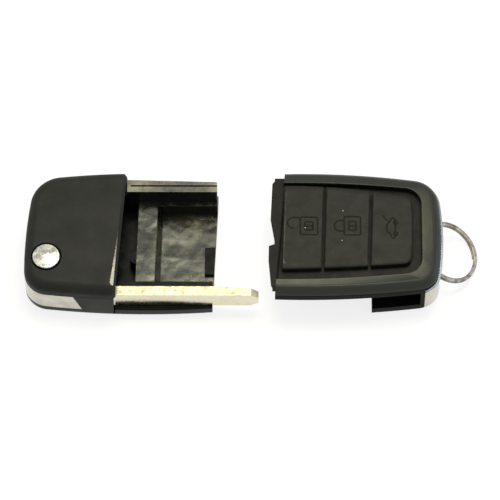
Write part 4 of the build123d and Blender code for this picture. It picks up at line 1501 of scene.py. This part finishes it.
@dataclass
class SplitRing:
    """Split ring: flat wire in two turns that step over each other.

    The wire is band wide across the ring and strip thick. step_length and end_length are shares of a
    turn: the first for the step between the layers, the second for the rounding of the wire's ends.
    """

    radius: float = 8.95
    band: float = 1.2
    strip: float = 0.58
    pitch: float = 0.76
    turns: float = 1.88
    tilt: float = 30.0
    centre: Triple = (116.35, 7.0, 5.55)
    corner: float = 0.2
    step_length: float = 0.22
    end_length: float = 0.006

    def build(self) -> None:
        """Carry a rounded rectangle along the ring, then tilt it to where it lies.

        A point at turn t lies at radius R and angle 360 t. Its height is the first layer's, then
        climbs by one pitch with a smoothstep as wide as step_length turns about the middle of the wire.
        """
        turn = np.linspace(0, self.turns, 320)
        climb = np.clip((turn - self.turns / 2) / self.step_length + 0.5, 0, 1)
        layer = self.pitch * (climb * climb * (3 - 2 * climb) - 0.5)
        angle = 2 * math.pi * turn
        half = (self.band / 2, self.strip / 2)
        corners = ((-half[0], -half[1]), (half[0], -half[1]), (half[0], half[1]), (-half[0], half[1]))
        section = bowed_loop(corners, (0,) * 4, (self.corner,) * 4, 2, 5)
        from_end = np.clip(np.minimum(turn, self.turns - turn) / self.end_length, 0, 1)
        size = np.sqrt(np.clip(1 - (1 - from_end) ** 2, 0, 1))
        reach = self.radius + section[None, :, 0] * size[:, None]
        local = np.zeros((len(turn), len(section), 3))
        local[:, :, 0] = reach * np.cos(angle)[:, None]
        local[:, :, 1] = reach * np.sin(angle)[:, None]
        local[:, :, 2] = layer[:, None] + section[None, :, 1] * size[:, None]
        lean = math.radians(self.tilt)
        turned = np.stack(
            (
                local[:, :, 0] * math.cos(lean) + local[:, :, 2] * math.sin(lean),
                local[:, :, 1],
                -local[:, :, 0] * math.sin(lean) + local[:, :, 2] * math.cos(lean),
            ),
            axis=2,
        )
        points = turned.reshape(-1, 3) + np.array(self.centre)
        mesh = make_mesh("ring_wire", points, grid_faces(len(turn), len(section), False, True))
        make_piece("ring_wire", mesh, RING_NICKEL, "ring", ("split_ring",))


@dataclass(frozen=True)
class Softbox:
    """Rectangular lamp: its place in millimetres, its sides in metres, its power in watts, its tint."""

    name: str
    place: Triple
    sides: Pair
    power: float
    tint: str

    def hang(self, target: Triple) -> None:
        """Hang the lamp so that it faces a point.

        Args:
            target: the point, in millimetres.
        """
        data = bpy.data.lights.new(self.name, "AREA")
        data.shape = "RECTANGLE"
        data.size, data.size_y = self.sides
        data.energy = self.power
        data.color = linear(self.tint)[:3]
        lamp = bpy.data.objects.new(self.name, data)
        bpy.context.scene.collection.objects.link(lamp)
        lamp.location = Vector(self.place) * MM
        aim = Vector(target) * MM - lamp.location
        lamp.rotation_euler = aim.to_track_quat("-Z", "Y").to_euler()


@dataclass
class Studio:
    """Pale floor, soft light from above and behind, and the camera.

    Angles are in degrees, lens, sensor, frame_width, target and floor_reach in millimetres, and clip
    in metres. floor_glow is the floor's own light where it is seen, and world_fill the world's
    strength where it only lights.
    """

    azimuth: float = 0.15
    elevation: float = 62.5
    lens: float = 300.0
    sensor: float = 36.0
    clip: Pair = (0.05, 20.0)
    frame_width: float = 145.0
    target: Triple = (58.6, 6.4, 8.0)
    floor_reach: float = 3000.0
    floor_colour: str = "#8f8f8d"
    floor_glow: float = 0.8
    world_fill: float = 0.45
    lamps: tuple[Softbox, ...] = (
        Softbox("overhead_softbox", (58.0, 139.0, 634.0), (0.3, 0.2), 2.0, "#fff8e4"),
        Softbox("back_card", (224.0, 288.0, 558.0), (0.13, 0.13), 0.6, "#fff2d6"),
        Softbox("cool_window", (500.0, 30.0, 150.0), (0.3, 0.2), 0.4, "#a9c4ff"),
    )

    def build(self) -> None:
        """Make the floor, world, lamps and camera."""
        bpy.context.scene.view_settings.view_transform = "Standard"
        self.build_floor()
        self.build_world()
        for lamp in self.lamps:
            lamp.hang(self.target)
        self.build_camera()

    @staticmethod
    def seen_share(tree: bpy.types.NodeTree, low: float, high: float) -> Socket:
        """Strength for what is seen, straight or in gloss and glass, and for what only lights.

        Args:
            tree: node tree of the material or world.
            low: strength where it only lights.
            high: strength for camera, glossy and transmission rays.

        Returns:
            The strength.
        """
        path = add_node(tree, "ShaderNodeLightPath").outputs
        total = path["Is Camera Ray"]
        for ray in ("Is Glossy Ray", "Is Transmission Ray"):
            links = {"0": total, "1": path[ray]}
            total = add_node(tree, "ShaderNodeMath", {"operation": "MAXIMUM"}, links).outputs[0]
        settings = mapped((0.0, 1.0), (low, high))
        return add_node(tree, "ShaderNodeMapRange", settings, {"Value": total}).outputs["Result"]

    def build_floor(self) -> None:
        """Large flat floor under the halves: white, with only soft shadows, clear from below."""
        points = np.array(((-1, -1, 0), (1, -1, 0), (1, 1, 0), (-1, 1, 0))) * self.floor_reach
        mesh = bpy.data.meshes.new("floor")
        mesh.from_pydata((points * MM).tolist(), [], [(0, 1, 2, 3)])
        floor = bpy.data.objects.new("floor", mesh)
        bpy.context.scene.collection.objects.link(floor)
        material = bpy.data.materials.new("paper_floor")
        material.use_nodes = True
        tree = material.node_tree
        tree.nodes.clear()
        matt = add_node(tree, "ShaderNodeBsdfDiffuse", {"Color": linear(self.floor_colour)})
        lift = self.seen_share(tree, 0.0, self.floor_glow)
        glow = add_node(tree, "ShaderNodeEmission", {"Color": (1, 1, 1, 1)}, {"Strength": lift})
        layers = {"0": matt.outputs["BSDF"], "1": glow.outputs["Emission"]}
        lit = add_node(tree, "ShaderNodeAddShader", links=layers)
        clear = add_node(tree, "ShaderNodeBsdfTransparent")
        side = add_node(tree, "ShaderNodeNewGeometry").outputs["Backfacing"]
        layers = {"Fac": side, "1": lit.outputs["Shader"], "2": clear.outputs["BSDF"]}
        both = add_node(tree, "ShaderNodeMixShader", links=layers)
        add_node(tree, "ShaderNodeOutputMaterial", links={"Surface": both.outputs["Shader"]})
        mesh.materials.append(material)

    def build_world(self) -> None:
        """White for the camera and in reflections, a soft fill for everything else."""
        world = bpy.data.worlds.new("studio_world")
        bpy.context.scene.world = world
        world.use_nodes = True
        tree = world.node_tree
        tree.nodes.clear()
        fill = self.seen_share(tree, self.world_fill, 1.0)
        sky = add_node(tree, "ShaderNodeBackground", {"Color": (1, 1, 1, 1)}, {"Strength": fill})
        add_node(tree, "ShaderNodeOutputWorld", links={"Surface": sky.outputs["Background"]})

    def build_camera(self) -> None:
        """Long lens at the photograph's viewing angle; 500 pixels span frame_width at the target."""
        data = bpy.data.cameras.new("camera")
        data.lens = self.lens
        data.sensor_width = self.sensor
        distance = self.frame_width * self.lens / data.sensor_width
        turn, rise = math.radians(self.azimuth), math.radians(self.elevation)
        back = Vector((math.sin(turn) * math.cos(rise), -math.cos(turn) * math.cos(rise), math.sin(rise)))
        camera = bpy.data.objects.new("camera", data)
        bpy.context.scene.collection.objects.link(camera)
        camera.location = (Vector(self.target) + back * distance) * MM
        camera.rotation_euler = (-back).to_track_quat("-Z", "Y").to_euler()
        data.clip_start, data.clip_end = self.clip
        bpy.context.scene.camera = camera


def main() -> None:
    """Load the frame, dress it piece by piece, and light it."""
    logging.basicConfig(level=logging.INFO, format="%(name)s: %(message)s")
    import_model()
    head, blade, remote, keypad = HeadHalf(), FlipBlade(), RemoteHalf(), Keypad()
    for part in (head, blade, remote, keypad):
        for carried in part.carried():
            carried.dress()
    for part in (head, blade, remote, keypad):
        part.build()
    SplitRing().build()
    Studio().build()


if __name__ == "__main__":
    main()
